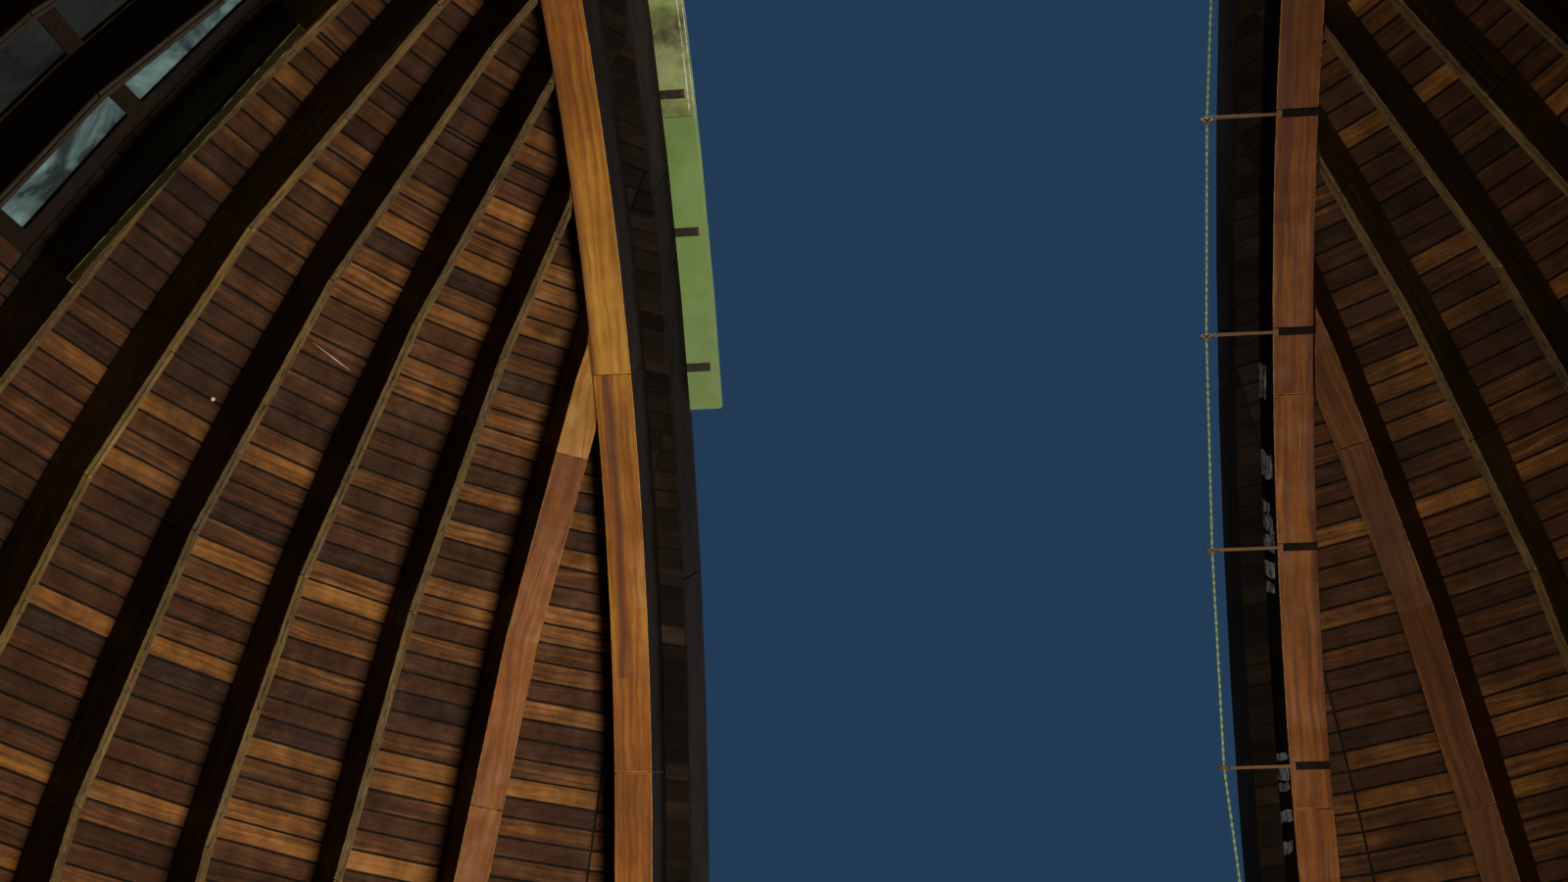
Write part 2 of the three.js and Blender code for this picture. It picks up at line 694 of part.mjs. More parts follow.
// Drum wall in four segments, with a fifth over the doorway
function addWall() {
  const ring = ringSolid(wallInner, wallOuter, 0, wallHeight, wallFacets);
  const half = doorwayWidth / 2;
  const doorway = boxSolid(-half, half, -9000, -1000, -10, wallHeight + 10);
  const seam = gapTurn(wallInner) / 2;
  const quarters = {
    wall_front_right: [0, 90],
    wall_back_right: [90, 180],
    wall_back_left: [180, 270],
    wall_front_left: [270, 360],
  };
  for (const [name, [start, end]] of Object.entries(quarters)) {
    const wedge = wedgeSolid(gridAngles(start + seam, end - seam, 15), -10, wallHeight + 10, 9000);
    const segment = ring.intersect(wedge).subtract(doorway);
    addPiece(drum, name, segment, finishes.masonry);
  }
  const over = ring.intersect(boxSolid(-half + gap, half - gap, -9000, -1000, doorwayHeight, wallHeight + 10));
  addPiece(drum, 'wall_over_door', over, finishes.masonry);
}

// Wall plate with its rollers, in two halves
function addWallPlate() {
  const bottom = wallHeight + gap;
  const plate = ringSolid(plateInner, plateOuter, bottom, plateTop, 360 / facetAngle);
  const middle = (railInner + railOuter) / 2;
  const rollers = [];
  for (let i = 0; i < rollerCount; i += 1) {
    const wheel = new THREE.CylinderGeometry(rollerRadius, rollerRadius, rollerWidth, 12);
    const axle = new THREE.CylinderGeometry(axleRadius, axleRadius, rollerWidth + 2 * cheekThickness + 6, 6);
    const parts = [solidOf(wheel), solidOf(axle)];
    for (const side of [-1, 1]) {
      const y = side * (rollerWidth + cheekThickness + 10) / 2;
      const foot = rollerRadius + rollerFootGap + 1;
      parts.push(boxSolid(-cheekWidth / 2, cheekWidth / 2, y - cheekThickness / 2, y + cheekThickness / 2, -foot, cheekTop));
    }
    const turn = 180 / rollerCount + (i * 360) / rollerCount;
    rollers.push(joined(parts).translate([0, middle, rollerAxis]).rotate([0, 0, turn]));
  }
  const whole = joined([plate].concat(rollers));
  const seam = gap / 2;
  const right = whole.intersect(boxSolid(seam, 9000, -9000, 9000, 0, 9000));
  addPiece(drum, 'wall_plate_right', right, finishes.ring);
  addPiece(drum, 'wall_plate_left', whole.intersect(boxSolid(-9000, -seam, -9000, 9000, 0, 9000)), finishes.ring);
}

// Doorway: step, frame and closed leaf
function addDoor() {
  const half = doorwayWidth / 2 - gap;
  const front = -Math.sqrt(wallOuter ** 2 - half ** 2) + 40;
  const back = front + frameDepth;
  const head = doorwayHeight - gap;
  const frame = boxSolid(-half, half, front, back, stepHeight + gap, head)
    .subtract(boxSolid(-half + frameWidth, half - frameWidth, front - 10, back + 10, 0, head - frameWidth));
  addPiece(drum, 'door_frame', frame, finishes.darkWood);
  const leafHalf = half - frameWidth - doorGap;
  const leaf = boxSolid(
    -leafHalf,
    leafHalf,
    front + 40,
    front + 40 + doorThickness,
    stepHeight + gap,
    head - frameWidth - doorGap,
  );
  addPiece(drum, 'door', leaf, finishes.doorPaint);
  const threshold = boxSolid(-half, half, -wallOuter - 50, -wallInner + 50, 0, stepHeight);
  const tread = boxSolid(-stepWidth / 2, stepWidth / 2, -stepFront, -wallInner, 0, stepHeight)
    .subtract(ringSolid(wallInner - 200, wallOuter + gap, -10, stepHeight + 10, wallFacets));
  addPiece(drum, 'door_step', tread.add(threshold), finishes.stone);
}

addWall();
addDoor();
addWallPlate();
addRing();
addShell();
addRibs();
addArches();
addCurbs();
addSkylight();
addRope();
addLeaves();
addRunways();

const observatory = new THREE.Group();
observatory.add(drum, dome);

export default observatory;
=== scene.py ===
import math
import random

import bmesh
import bpy
from mathutils import Matrix, Vector


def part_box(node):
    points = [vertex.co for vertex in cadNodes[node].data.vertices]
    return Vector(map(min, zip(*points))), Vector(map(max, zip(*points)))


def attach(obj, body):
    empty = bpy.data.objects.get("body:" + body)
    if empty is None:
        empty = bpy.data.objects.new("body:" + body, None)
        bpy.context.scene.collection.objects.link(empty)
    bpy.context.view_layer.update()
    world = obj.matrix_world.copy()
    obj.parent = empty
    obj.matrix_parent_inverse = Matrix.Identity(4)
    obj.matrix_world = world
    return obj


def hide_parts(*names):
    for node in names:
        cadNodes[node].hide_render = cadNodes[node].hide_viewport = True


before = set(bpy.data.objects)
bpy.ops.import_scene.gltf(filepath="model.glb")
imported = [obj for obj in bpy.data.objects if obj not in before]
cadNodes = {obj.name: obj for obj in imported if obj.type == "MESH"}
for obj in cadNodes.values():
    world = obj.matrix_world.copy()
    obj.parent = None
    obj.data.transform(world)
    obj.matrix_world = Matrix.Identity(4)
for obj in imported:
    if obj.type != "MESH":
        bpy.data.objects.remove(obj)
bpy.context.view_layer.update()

scene = bpy.context.scene
print("frame loaded,", len(cadNodes), "nodes")

# Sizes that more than one piece needs, in metres and degrees
dome = {
    "ringTopDrop": 0.039,       # springing height above the top of the ring
    "ribInner": 4.080,
    "ringMiddle": 4.3,
    "boardFace": 4.390,         # inner face of the boards
    "skinOuter": 4.430,
    "bay": 7.5,                 # one rib to the next, and one flat of the dome
    "slitHalf": 1.183,
    "besideSlit": 1.0,          # how far beside the slit faces are cut
    "archInnerX": 1.278,
    "archOuterX": 1.435,
    "headAngle": 109.0,
    "topElevation": 75.0,
    "skylight": ((-81.4, -68.6), (37.5, 54.4)),     # azimuths, elevations
    "segmentGap": 0.004,        # degrees at each side
    "leastRow": 0.02,           # degrees, below which a row is left out
    # azimuths, which go clockwise from the front as seen from above
    "segments": {
        "shell_left_front": (-90, -15),
        "shell_left_back": (-150, -90),
        "shell_back": (150, 210),
        "shell_right_back": (90, 150),
        "shell_right_front": (15, 90),
    },
}
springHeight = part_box("dome_ring")[1].z + dome["ringTopDrop"]
domeCentre = Vector((0, 0, springHeight))
halfSeam = 0.0006           # half the gap between two planks
sunk = 0.0005               # how deep studs and strips are let into what carries them
facing = 0.9                # a face faces a direction when its normal has this share along it
nearly = 1e-6               # slack for rounding
merging = 2e-5              # corners nearer to each other become one
flatTurn = 0.3              # degrees, below which two faces become one
middleTone = 0.5            # halfway from a finish's dark colour to its light one
onCut = 1e-5                # corners nearer to a cut count as lying on it
sootAndShadeSlot = 1               # the near-black finish, soot on some faces and painted shade on others, comes second in the pieces that have two


# Places on the dome and in the planes of its arches

def spherePoint(azimuth, elevation, radius):
    a, e = math.radians(azimuth), math.radians(elevation)
    return domeCentre + radius * Vector((math.cos(e) * math.sin(a), math.cos(e) * math.cos(a), math.sin(e)))


def facetPoint(azimuth, elevation, radius):
    # the dome is made of flats one bay wide and one bay high, and a point lies on its flat
    bay = dome["bay"]
    a0 = math.floor(azimuth / bay + nearly) * bay
    e0 = math.floor(elevation / bay + nearly) * bay
    across, up = (azimuth - a0) / bay, (elevation - e0) / bay
    low = spherePoint(a0, e0, radius).lerp(spherePoint(a0 + bay, e0, radius), across)
    high = spherePoint(a0, e0 + bay, radius).lerp(spherePoint(a0 + bay, e0 + bay, radius), across)
    return low.lerp(high, up)


def planePoint(x, angle, radius):
    # a point in an upright plane along the slit: the angle goes from the front horizon over the top
    t = math.radians(angle)
    return Vector((x, radius * math.cos(t), springHeight + radius * math.sin(t)))


def levelAxes(azimuth):
    # the level directions along the wall and outwards
    a = math.radians(azimuth)
    return Vector((math.cos(a), -math.sin(a), 0)), Vector((math.sin(a), math.cos(a), 0))


def fromCentre(face):
    return face.calc_center_median() - domeCentre


def azimuthOf(spot):
    return math.degrees(math.atan2(spot.x, spot.y))


def slitAngle(spot):
    # the angle over the front horizon of a spot measured from the dome's centre
    return math.degrees(math.atan2(spot.z, spot.y))


def within(spot, azimuths, elevations):
    elevation = math.degrees(math.asin(spot.z / spot.length))
    return azimuths[0] < azimuthOf(spot) < azimuths[1] and elevations[0] < elevation < elevations[1]


def steps(start, end, step):
    # start, every multiple of step between, and end
    inside = [k * step for k in range(math.floor(start / step) + 1, math.ceil(end / step))]
    return [start] + [s for s in inside if start + nearly < s < end - nearly] + [end]


def clamp(value, low, high):
    return min(high, max(low, value))


def someShift(draw, most):
    return draw.uniform(0, most), draw.uniform(0, most)


# Grain maps: a function gives the place of any point along and across the board. Across counts both other
# axes, so that the grain is smeared on no side.

def beamPlace(co):
    return co.x, co.y * 0.9 + co.z * 0.8


def uprightPlace(co):
    return co.z, co.x * 0.9 + co.y * 0.7


def ringPlace(co):
    return math.atan2(co.x, co.y) * dome["ringMiddle"], math.hypot(co.x, co.y) + co.z * 0.97


def sweepPlace(azimuth, radius, lean):
    # for a piece that curves over in the upright plane at an azimuth
    along, out = levelAxes(azimuth)

    def place(co):
        flat = co - domeCentre
        reach = flat.dot(out)
        return math.atan2(flat.z, reach) * radius, math.hypot(flat.z, reach) + flat.dot(along) * lean

    return place


# Making and cutting pieces

def addLayers(bm):
    # the grain map, and the values that the finishes read from faces and corners
    bm.loops.layers.uv.new("grain")
    for label in ("tone", "edge", "streak", "sootAndShade"):
        bm.faces.layers.float.new(label)
    bm.verts.layers.float.new("toneDrift")
    return bm


def newBmesh():
    return addLayers(bmesh.new())


def makePiece(name, bm, materials, body, replaced=(), smoothAngle=None):
    bmesh.ops.recalc_face_normals(bm, faces=bm.faces[:])
    mesh = bpy.data.meshes.new(name)
    bm.to_mesh(mesh)
    bm.free()
    for material in materials:
        mesh.materials.append(material)
    piece = bpy.data.objects.new(name, mesh)
    scene.collection.objects.link(piece)
    if smoothAngle is not None:
        mesh.shade_smooth()
        mesh.set_sharp_from_angle(angle=math.radians(smoothAngle))
    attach(piece, body)
    if replaced:
        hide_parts(*replaced)


def wholeOf(bm):
    return bm.verts[:] + bm.edges[:] + bm.faces[:]


def markFaces(bm, label, faces, value):
    layer = bm.faces.layers.float[label]
    for face in faces:
        face[layer] = value


def paint(bm, tone, place, shift=(0, 0)):
    # gives every face its tone, and a grain map whose u runs along the board
    markFaces(bm, "tone", bm.faces, tone)
    grain = bm.loops.layers.uv["grain"]
    for face in bm.faces:
        for loop in face.loops:
            u, v = place(loop.vert.co)
            loop[grain].uv = (u + shift[0], v + shift[1])


def roundEdges(bm, width, segments=1, sharp=25.0):
    # bevels the edges that turn by more than an angle, or every edge where it is None
    edges = [e for e in bm.edges if len(e.link_faces) == 2]
    if sharp is not None:
        edges = [e for e in edges if e.calc_face_angle(0.0) > math.radians(sharp)]
    made = bmesh.ops.bevel(bm, geom=edges, offset=width, segments=segments, affect="EDGES", profile=0.5,
                           material=-1, clamp_overlap=True)
    markFaces(bm, "edge", made["faces"], 1.0)


def appendTo(target, bm):
    mesh = bpy.data.meshes.new("stretch")
    bm.to_mesh(mesh)
    bm.free()
    target.from_mesh(mesh)
    bpy.data.meshes.remove(mesh)


def addPlank(bm, points, along, bevel, tone, place, shift=(0, 0)):
    # an outline pushed along a vector, built in a bmesh of its own, so that a long run of planks stays quick
    single = newBmesh()
    face = single.faces.new([single.verts.new(p) for p in points])
    made = bmesh.ops.extrude_face_region(single, geom=[face])
    moved = [g for g in made["geom"] if isinstance(g, bmesh.types.BMVert)]
    bmesh.ops.translate(single, verts=moved, vec=along)
    bmesh.ops.recalc_face_normals(single, faces=single.faces[:])
    if bevel:
        roundEdges(single, bevel, sharp=None)
    paint(single, tone, place, shift)
    appendTo(bm, single)


def addStud(bm, spot, axis, radius, height, sides=6, taper=0.8):
    # a bolt or rivet head that stands on a spot and points along an axis
    turn = axis.to_track_quat("Z", "Y").to_matrix().to_4x4()
    place = Matrix.Translation(spot + axis * (height / 2)) @ turn
    bmesh.ops.create_cone(bm, cap_ends=True, segments=sides, radius1=radius, radius2=radius * taper,
                          depth=height, matrix=place)


def cutAway(bm, point, normal):
    # removes what lies on the normal's side and closes the cut
    made = bmesh.ops.bisect_plane(bm, geom=wholeOf(bm), plane_co=point, plane_no=normal, clear_outer=True)
    rim = [g for g in made["geom_cut"] if isinstance(g, bmesh.types.BMEdge) and g.is_valid and g.is_boundary]
    if rim:
        bmesh.ops.holes_fill(bm, edges=rim, sides=0)


def cutPlanes(stops, pointAt, normalAt, half=halfSeam):
    # the two planes that bound each stretch between stops, drawn in by half a seam. None stands for no cut.
    cuts = []
    for low, high in zip(stops, stops[1:]):
        planes = []
        for stop, side in ((low, -1), (high, 1)):
            if stop is not None:
                normal = normalAt(stop) * side
                planes.append((pointAt(stop) - normal * half, normal))
        cuts.append(planes)
    return cuts


def sweepCuts(angles, azimuth=0, half=halfSeam):
    # for a piece that curves over in the upright plane at an azimuth
    out = levelAxes(azimuth)[1]

    def normalAt(angle):
        t = math.radians(angle)
        return out * -math.sin(t) + Vector((0, 0, math.cos(t)))

    return cutPlanes(angles, lambda angle: domeCentre, normalAt, half)


def beamCuts(places, half=halfSeam):
    # for a straight beam along x
    return cutPlanes(places, lambda x: Vector((x, 0, 0)), lambda x: Vector((1, 0, 0)), half)


def ringCuts(azimuths):
    return cutPlanes(azimuths, lambda azimuth: Vector(), lambda azimuth: levelAxes(azimuth)[0])


def solidCopy(node):
    # a merged copy of a CAD piece, with its flat faces whole
    bm = bmesh.new()
    bm.from_mesh(cadNodes[node].data)
    bmesh.ops.remove_doubles(bm, verts=bm.verts[:], dist=merging)
    bmesh.ops.dissolve_limit(bm, angle_limit=math.radians(flatTurn), verts=bm.verts[:], edges=bm.edges[:],
                             delimit=set())
    return addLayers(bm)


planks = {
    "tone": (0.5, 0.13),        # middle and spread
    "grainShift": 60,           # how far apart in the grain map two planks can lie
}


def planksFrom(node, cuts, settings, place, draw, tones=None):
    # parts a CAD piece into planks with rounded edges
    source = solidCopy(node)
    target = newBmesh()
    for index, planes in enumerate(cuts):
        bm = source.copy()
        for point, normal in planes:
            cutAway(bm, point, normal)
        bmesh.ops.recalc_face_normals(bm, faces=bm.faces[:])
        roundEdges(bm, settings["bevel"], settings.get("segments", 1))
        tone = tones[index] if tones else clamp(draw.gauss(*planks["tone"]), 0.05, 0.95)
        paint(bm, tone, place, someShift(draw, planks["grainShift"]))
        appendTo(target, bm)
    source.free()
    return target


def roundedPiece(name, node, look, materials, body):
    # a CAD piece in one, with rounded edges
    bm = solidCopy(node)
    roundEdges(bm, look["bevel"], look.get("segments", 1), look.get("sharp", 25.0))
    paint(bm, look.get("tone", middleTone), look.get("place", beamPlace), look.get("shift", (0, 0)))
    makePiece(name, bm, materials, body, [node])


# Shader nodes

def fill(tree, sockets, values):
    # gives each socket its value, or a link where the value is a socket itself
    for key, value in values.items():
        if isinstance(value, bpy.types.NodeSocket):
            tree.links.new(value, sockets[key])
        else:
            sockets[key].default_value = value


def addNode(tree, kind, inputs, **settings):
    node = tree.nodes.new(kind)
    for key, value in settings.items():
        setattr(node, key, value)
    fill(tree, node.inputs, inputs)
    return node


def calc(tree, operation, first, second=0.0, clamped=False):
    node = addNode(tree, "ShaderNodeMath", {0: first, 1: second}, operation=operation, use_clamp=clamped)
    return node.outputs[0]


def times(tree, first, second, clamped=False):
    return calc(tree, "MULTIPLY", first, second, clamped)


def plus(tree, first, second, clamped=False):
    return calc(tree, "ADD", first, second, clamped)


def minus(tree, first, second):
    return calc(tree, "SUBTRACT", first, second)


def ramp(tree, value, low, high, lowOut=0.0, highOut=1.0):
    ends = {"From Min": low, "From Max": high, "To Min": lowOut, "To Max": highOut}
    return addNode(tree, "ShaderNodeMapRange", {"Value": value, **ends}).outputs["Result"]


def mixColour(tree, factor, first, second):
    first, second = [c if isinstance(c, bpy.types.NodeSocket) else (*c, 1.0) for c in (first, second)]
    return addNode(tree, "ShaderNodeMix", {0: factor, 6: first, 7: second}, data_type="RGBA").outputs[2]


def stain(tree, colour, mask, share, second):
    # a second colour over the first where the mask says, at a share of its strength
    return mixColour(tree, times(tree, mask, share), colour, second)


def colourRamp(tree, value, low, middle, high):
    # each stop is a place and a colour
    node = addNode(tree, "ShaderNodeValToRGB", {"Fac": value})
    stops = node.color_ramp.elements
    stops[0].position, stops[0].color = low[0], (*low[1], 1)
    stops[1].position, stops[1].color = high[0], (*high[1], 1)
    stops.new(middle[0]).color = (*middle[1], 1)
    return node.outputs["Color"]


def noise(tree, vector, scale, detail=4.0, roughness=0.55, distortion=0.0):
    inputs = {"Vector": vector, "Scale": scale, "Detail": detail, "Roughness": roughness,
              "Distortion": distortion}
    return addNode(tree, "ShaderNodeTexNoise", inputs).outputs["Fac"]


def scaled(tree, vector, scale, location=(0, 0, 0)):
    inputs = {"Vector": vector, "Scale": scale, "Location": location}
    return addNode(tree, "ShaderNodeMapping", inputs).outputs["Vector"]


def partsOf(tree, vector):
    return addNode(tree, "ShaderNodeSeparateXYZ", {"Vector": vector}).outputs


def attribute(tree, name):
    return addNode(tree, "ShaderNodeAttribute", {}, attribute_name=name).outputs["Fac"]


def grainMap(tree):
    return addNode(tree, "ShaderNodeUVMap", {}, uv_map="grain").outputs["UV"]


def objectMap(tree):
    return addNode(tree, "ShaderNodeTexCoord", {}).outputs["Object"]


# Effects that several finishes share

def nodeGroup(name, inputs, outputs):
    # an input without a value is a vector, and every other socket is a number
    group = bpy.data.node_groups.new(name, "ShaderNodeTree")
    for label, value in inputs.items():
        kind = "NodeSocketVector" if value is None else "NodeSocketFloat"
        socket = group.interface.new_socket(name=label, in_out="INPUT", socket_type=kind)
        if value is not None:
            socket.default_value = value
    for label in outputs:
        group.interface.new_socket(name=label, in_out="OUTPUT", socket_type="NodeSocketFloat")
    return group, group.nodes.new("NodeGroupInput").outputs, group.nodes.new("NodeGroupOutput").inputs


def makeGrainGroup():
    # long fibres along u, slow bands of colour, and a knot now and then
    inputs = {"Vector": None, "Fibre": 1.0, "Knots": 0.4}
    group, given, result = nodeGroup("timberGrain", inputs, ("Grain", "Knot", "Height"))
    vector = given["Vector"]
    waver = noise(group, scaled(group, vector, (1.3, 3.0, 1.0)), 2.0, 2.0)
    push = addNode(group, "ShaderNodeCombineXYZ", {"Y": times(group, waver, 0.05)}).outputs[0]
    bent = addNode(group, "ShaderNodeVectorMath", {0: vector, 1: push}, operation="ADD").outputs[0]
    fine = noise(group, scaled(group, bent, (7.0, 420.0, 7.0)), 1.0, 3.0, 0.6)
    broad = noise(group, scaled(group, bent, (1.6, 55.0, 1.6)), 1.0, 3.0, 0.5)
    cells = scaled(group, vector, (2.2, 9.0, 1.0))
    knots = addNode(group, "ShaderNodeTexVoronoi", {"Vector": cells, "Scale": 1.0})
    spot = ramp(group, knots.outputs["Distance"], 0.03, 0.16, 1.0, 0.0)
    rare = ramp(group, noise(group, scaled(group, vector, (1.1, 4.0, 1.0), (7, 3, 0)), 1.0, 1.0), 0.56, 0.6)
    knot = times(group, times(group, spot, rare), given["Knots"], True)
    mixed = plus(group, times(group, broad, 0.62), times(group, fine, 0.38))
    contrast = times(group, minus(group, mixed, 0.5), given["Fibre"])
    grain = plus(group, times(group, contrast, 2.2), 0.5, True)
    fill(group, result, {"Grain": grain, "Knot": knot, "Height": minus(group, fine, times(group, knot, 0.6))})
    return group


def makeWearGroup():
    # worn arrises where the edge attribute is set, and patches rubbed or stained elsewhere
    inputs = {"Vector": None, "Edge": 0.0, "Wear": 0.5, "Patch Size": 1.5}
    group, given, result = nodeGroup("wearAndGrime", inputs, ("Worn", "Grime", "Mottle"))
    vector = given["Vector"]
    broken = ramp(group, noise(group, vector, 28.0, 5.0, 0.65), 0.38, 0.62)
    worn = times(group, times(group, given["Edge"], broken), given["Wear"], True)
    grime = ramp(group, noise(group, vector, given["Patch Size"], 6.0, 0.6, 0.4), 0.42, 0.66)
    mottle = ramp(group, noise(group, vector, 9.0, 6.0, 0.7), 0.3, 0.7)
    fill(group, result, {"Worn": worn, "Grime": grime, "Mottle": mottle})
    return group


def makeCorrosionGroup():
    # rust blooms and fine pitting for iron
    inputs = {"Vector": None, "Amount": 0.5}
    group, given, result = nodeGroup("corrosion", inputs, ("Rust", "Pitting"))
    bloom = noise(group, given["Vector"], 6.0, 8.0, 0.7, 0.3)
    edge = minus(group, 0.72, times(group, given["Amount"], 0.34))
    rust = times(group, minus(group, bloom, edge), 9.0, True)
    fill(group, result, {"Rust": rust, "Pitting": noise(group, given["Vector"], 140.0, 4.0, 0.7)})
    return group


grainGroup = makeGrainGroup()
wearGroup = makeWearGroup()
corrosionGroup = makeCorrosionGroup()


def wearOn(tree, spot, amount, patch):
    inputs = {"Vector": spot, "Edge": attribute(tree, "edge"), "Wear": amount, "Patch Size": patch}
    return addNode(tree, "ShaderNodeGroup", inputs, node_tree=wearGroup).outputs


# Finishes

def startMaterial(name):
    material = bpy.data.materials.new(name)
    material.use_nodes = True
    return material, material.node_tree, objectMap(material.node_tree)


def finishMaterial(tree, colour, rough, height, bump, depth, rest=()):
    # bump is a strength, depth is its height in metres, and rest has the shader's other sockets
    inputs = {"Height": height, "Strength": bump, "Distance": depth}
    normal = addNode(tree, "ShaderNodeBump", inputs).outputs["Normal"]
    sockets = {"Base Color": colour, "Roughness": rough, "Normal": normal, **dict(rest)}
    fill(tree, tree.nodes["Principled BSDF"].inputs, sockets)


def timberMaterial(name, look):
    material, tree, spot = startMaterial(name)
    inputs = {"Vector": grainMap(tree), "Fibre": look["fibre"], "Knots": look["knots"]}
    grain = addNode(tree, "ShaderNodeGroup", inputs, node_tree=grainGroup).outputs
    wear = wearOn(tree, spot, look["wear"], look["patch"])
    tone = plus(tree, attribute(tree, "tone"), attribute(tree, "toneDrift"))
    share = look["toneShare"]
    shade = plus(tree, times(tree, tone, share), times(tree, grain["Grain"], 1.0 - share))
    colour = colourRamp(tree, shade, (0.12, look["dark"]), (0.5, look["middle"]), (0.92, look["light"]))
    colour = stain(tree, colour, grain["Knot"], 0.85, look["knotColour"])
    colour = stain(tree, colour, wear["Grime"], look["grime"], look["grimeColour"])
    colour = stain(tree, colour, wear["Mottle"], look["mottle"], look["grimeColour"])
    colour = mixColour(tree, wear["Worn"], colour, look["wornColour"])
    if "streakColour" in look:
        # a knotty streak along the grain, where the attribute says how far out in x it runs
        across = calc(tree, "ABSOLUTE", partsOf(tree, spot)["X"])
        bend = times(tree, noise(tree, scaled(tree, spot, (0.5, 1.6, 1.6)), 1.6, 3.0), 0.05)
        away = calc(tree, "ABSOLUTE", minus(tree, plus(tree, across, bend), attribute(tree, "streak")))
        streak = ramp(tree, away, look["streakWidth"], 0.004)
        colour = stain(tree, colour, streak, look["streakDepth"], look["streakColour"])
    # the soot colour darkens the joints, and stands as painted shade on the heavy ribs' sides and faces and
    # on the ribs and boards by the skylight
    if "sootAndShadeColour" in look:
        colour = mixColour(tree, attribute(tree, "sootAndShade"), colour, look["sootAndShadeColour"])
    rough = ramp(tree, wear["Mottle"], 0.0, 1.0, *look["rough"])
    finishMaterial(tree, colour, rough, grain["Height"], bump=look["bump"], depth=0.0015,
                   rest={"Specular IOR Level": look["specular"]})
    return material


timbers = {
    "boardTimber": {
        "dark": (0.015, 0.007, 0.004), "middle": (0.082, 0.031, 0.012), "light": (0.33, 0.152, 0.042),
        "knotColour": (0.015, 0.007, 0.005), "grimeColour": (0.014, 0.007, 0.004),
        "wornColour": (0.18, 0.09, 0.035), "sootAndShadeColour": (0.004, 0.003, 0.002),
        "fibre": 1.5, "knots": 0.7, "wear": 0.35, "patch": 1.7, "mottle": 0.55, "toneShare": 0.62,
        "grime": 0.7, "rough": (0.55, 0.85), "bump": 0.6, "specular": 0.2,
    },
    "ribTimber": {
        "dark": (0.016, 0.009, 0.005), "middle": (0.062, 0.040, 0.013), "light": (0.19, 0.130, 0.040),
        "knotColour": (0.02, 0.010, 0.006), "grimeColour": (0.018, 0.011, 0.007),
        "wornColour": (0.24, 0.15, 0.055), "sootAndShadeColour": (0.010, 0.007, 0.005),
        "fibre": 1.2, "knots": 0.5, "wear": 0.8, "patch": 1.6, "mottle": 0.3, "toneShare": 0.4,
        "grime": 0.5, "rough": (0.5, 0.8), "bump": 0.5, "specular": 0.3,
    },
    "archTimber": {
        "dark": (0.070, 0.023, 0.009), "middle": (0.24, 0.088, 0.024), "light": (0.50, 0.285, 0.050),
        "knotColour": (0.06, 0.022, 0.010), "grimeColour": (0.080, 0.030, 0.012),
        "wornColour": (0.48, 0.28, 0.09), "sootAndShadeColour": (0.006, 0.004, 0.003),
        "streakColour": (0.070, 0.026, 0.020), "streakWidth": 0.030, "streakDepth": 0.8,
        "fibre": 1.4, "knots": 0.8, "wear": 0.5, "patch": 1.6, "mottle": 0.35, "toneShare": 0.55,
        "grime": 0.5, "rough": (0.45, 0.75), "bump": 0.4, "specular": 0.2,
    },
    "darkTimber": {
        "dark": (0.007, 0.005, 0.004), "middle": (0.018, 0.012, 0.009), "light": (0.045, 0.029, 0.019),
        "knotColour": (0.008, 0.005, 0.004), "grimeColour": (0.010, 0.008, 0.007),
        "wornColour": (0.045, 0.030, 0.020),
        "fibre": 1.0, "knots": 0.4, "wear": 0.5, "patch": 1.8, "mottle": 0.2, "toneShare": 0.5,
        "grime": 0.5, "rough": (0.7, 0.95), "bump": 0.5, "specular": 0.12,
    },
    # near black: soot and damp on the jambs, the arches' slit faces and the curbs, and painted shade on the
    # rods over the arch and on the leaves' edges beside the slit
    "sootAndShadeTimber": {
        "dark": (0.007, 0.0055, 0.0045), "middle": (0.019, 0.0145, 0.012), "light": (0.044, 0.031, 0.024),
        "knotColour": (0.005, 0.004, 0.004), "grimeColour": (0.006, 0.005, 0.0045),
        "wornColour": (0.034, 0.025, 0.019),
        "fibre": 1.0, "knots": 0.3, "wear": 0.4, "patch": 2.4, "mottle": 0.2, "toneShare": 0.6,
        "grime": 0.6, "rough": (0.85, 1.0), "bump": 0.5, "specular": 0.04,
    },
    "doorTimber": {
        "dark": (0.022, 0.040, 0.030), "middle": (0.040, 0.072, 0.052), "light": (0.065, 0.105, 0.075),
        "knotColour": (0.02, 0.03, 0.02), "grimeColour": (0.03, 0.032, 0.026),
        "wornColour": (0.24, 0.17, 0.10),
        "fibre": 0.6, "knots": 0.2, "wear": 0.8, "patch": 2.0, "mottle": 0.15, "toneShare": 0.5,
        "grime": 0.5, "rough": (0.4, 0.65), "bump": 0.35, "specular": 0.5,
    },
}
boardTimber, ribTimber, archTimber, darkTimber, sootAndShadeTimber, doorTimber = [
    timberMaterial(name, look) for name, look in timbers.items()]


def paintedMaterial(name, look):
    # paint over timber or sheet: mottled, streaked downwards and chipped at the edges
    material, tree, spot = startMaterial(name)
    wear = wearOn(tree, spot, look["wear"], look["patch"])
    streak = noise(tree, scaled(tree, spot, look["streakScale"]), 3.0, 5.0, 0.6)
    colour = mixColour(tree, ramp(tree, streak, 0.3, 0.75), look["colour"], look["second"])
    colour = stain(tree, colour, wear["Grime"], look["grime"], look["grimeColour"])
    colour = stain(tree, colour, wear["Mottle"], look["mottle"], look["mottleColour"])
    colour = mixColour(tree, wear["Worn"], colour, look["wornColour"])
    rough = ramp(tree, wear["Mottle"], 0.0, 1.0, *look["rough"])
    rest = {"Metallic": look.get("metal", 0.0), "Specular IOR Level": look.get("specular", 0.5)}
    height = noise(tree, spot, look["bumpScale"], 4.0)
    finishMaterial(tree, colour, rough, height, bump=look["bump"], depth=0.002, rest=rest)
    return material


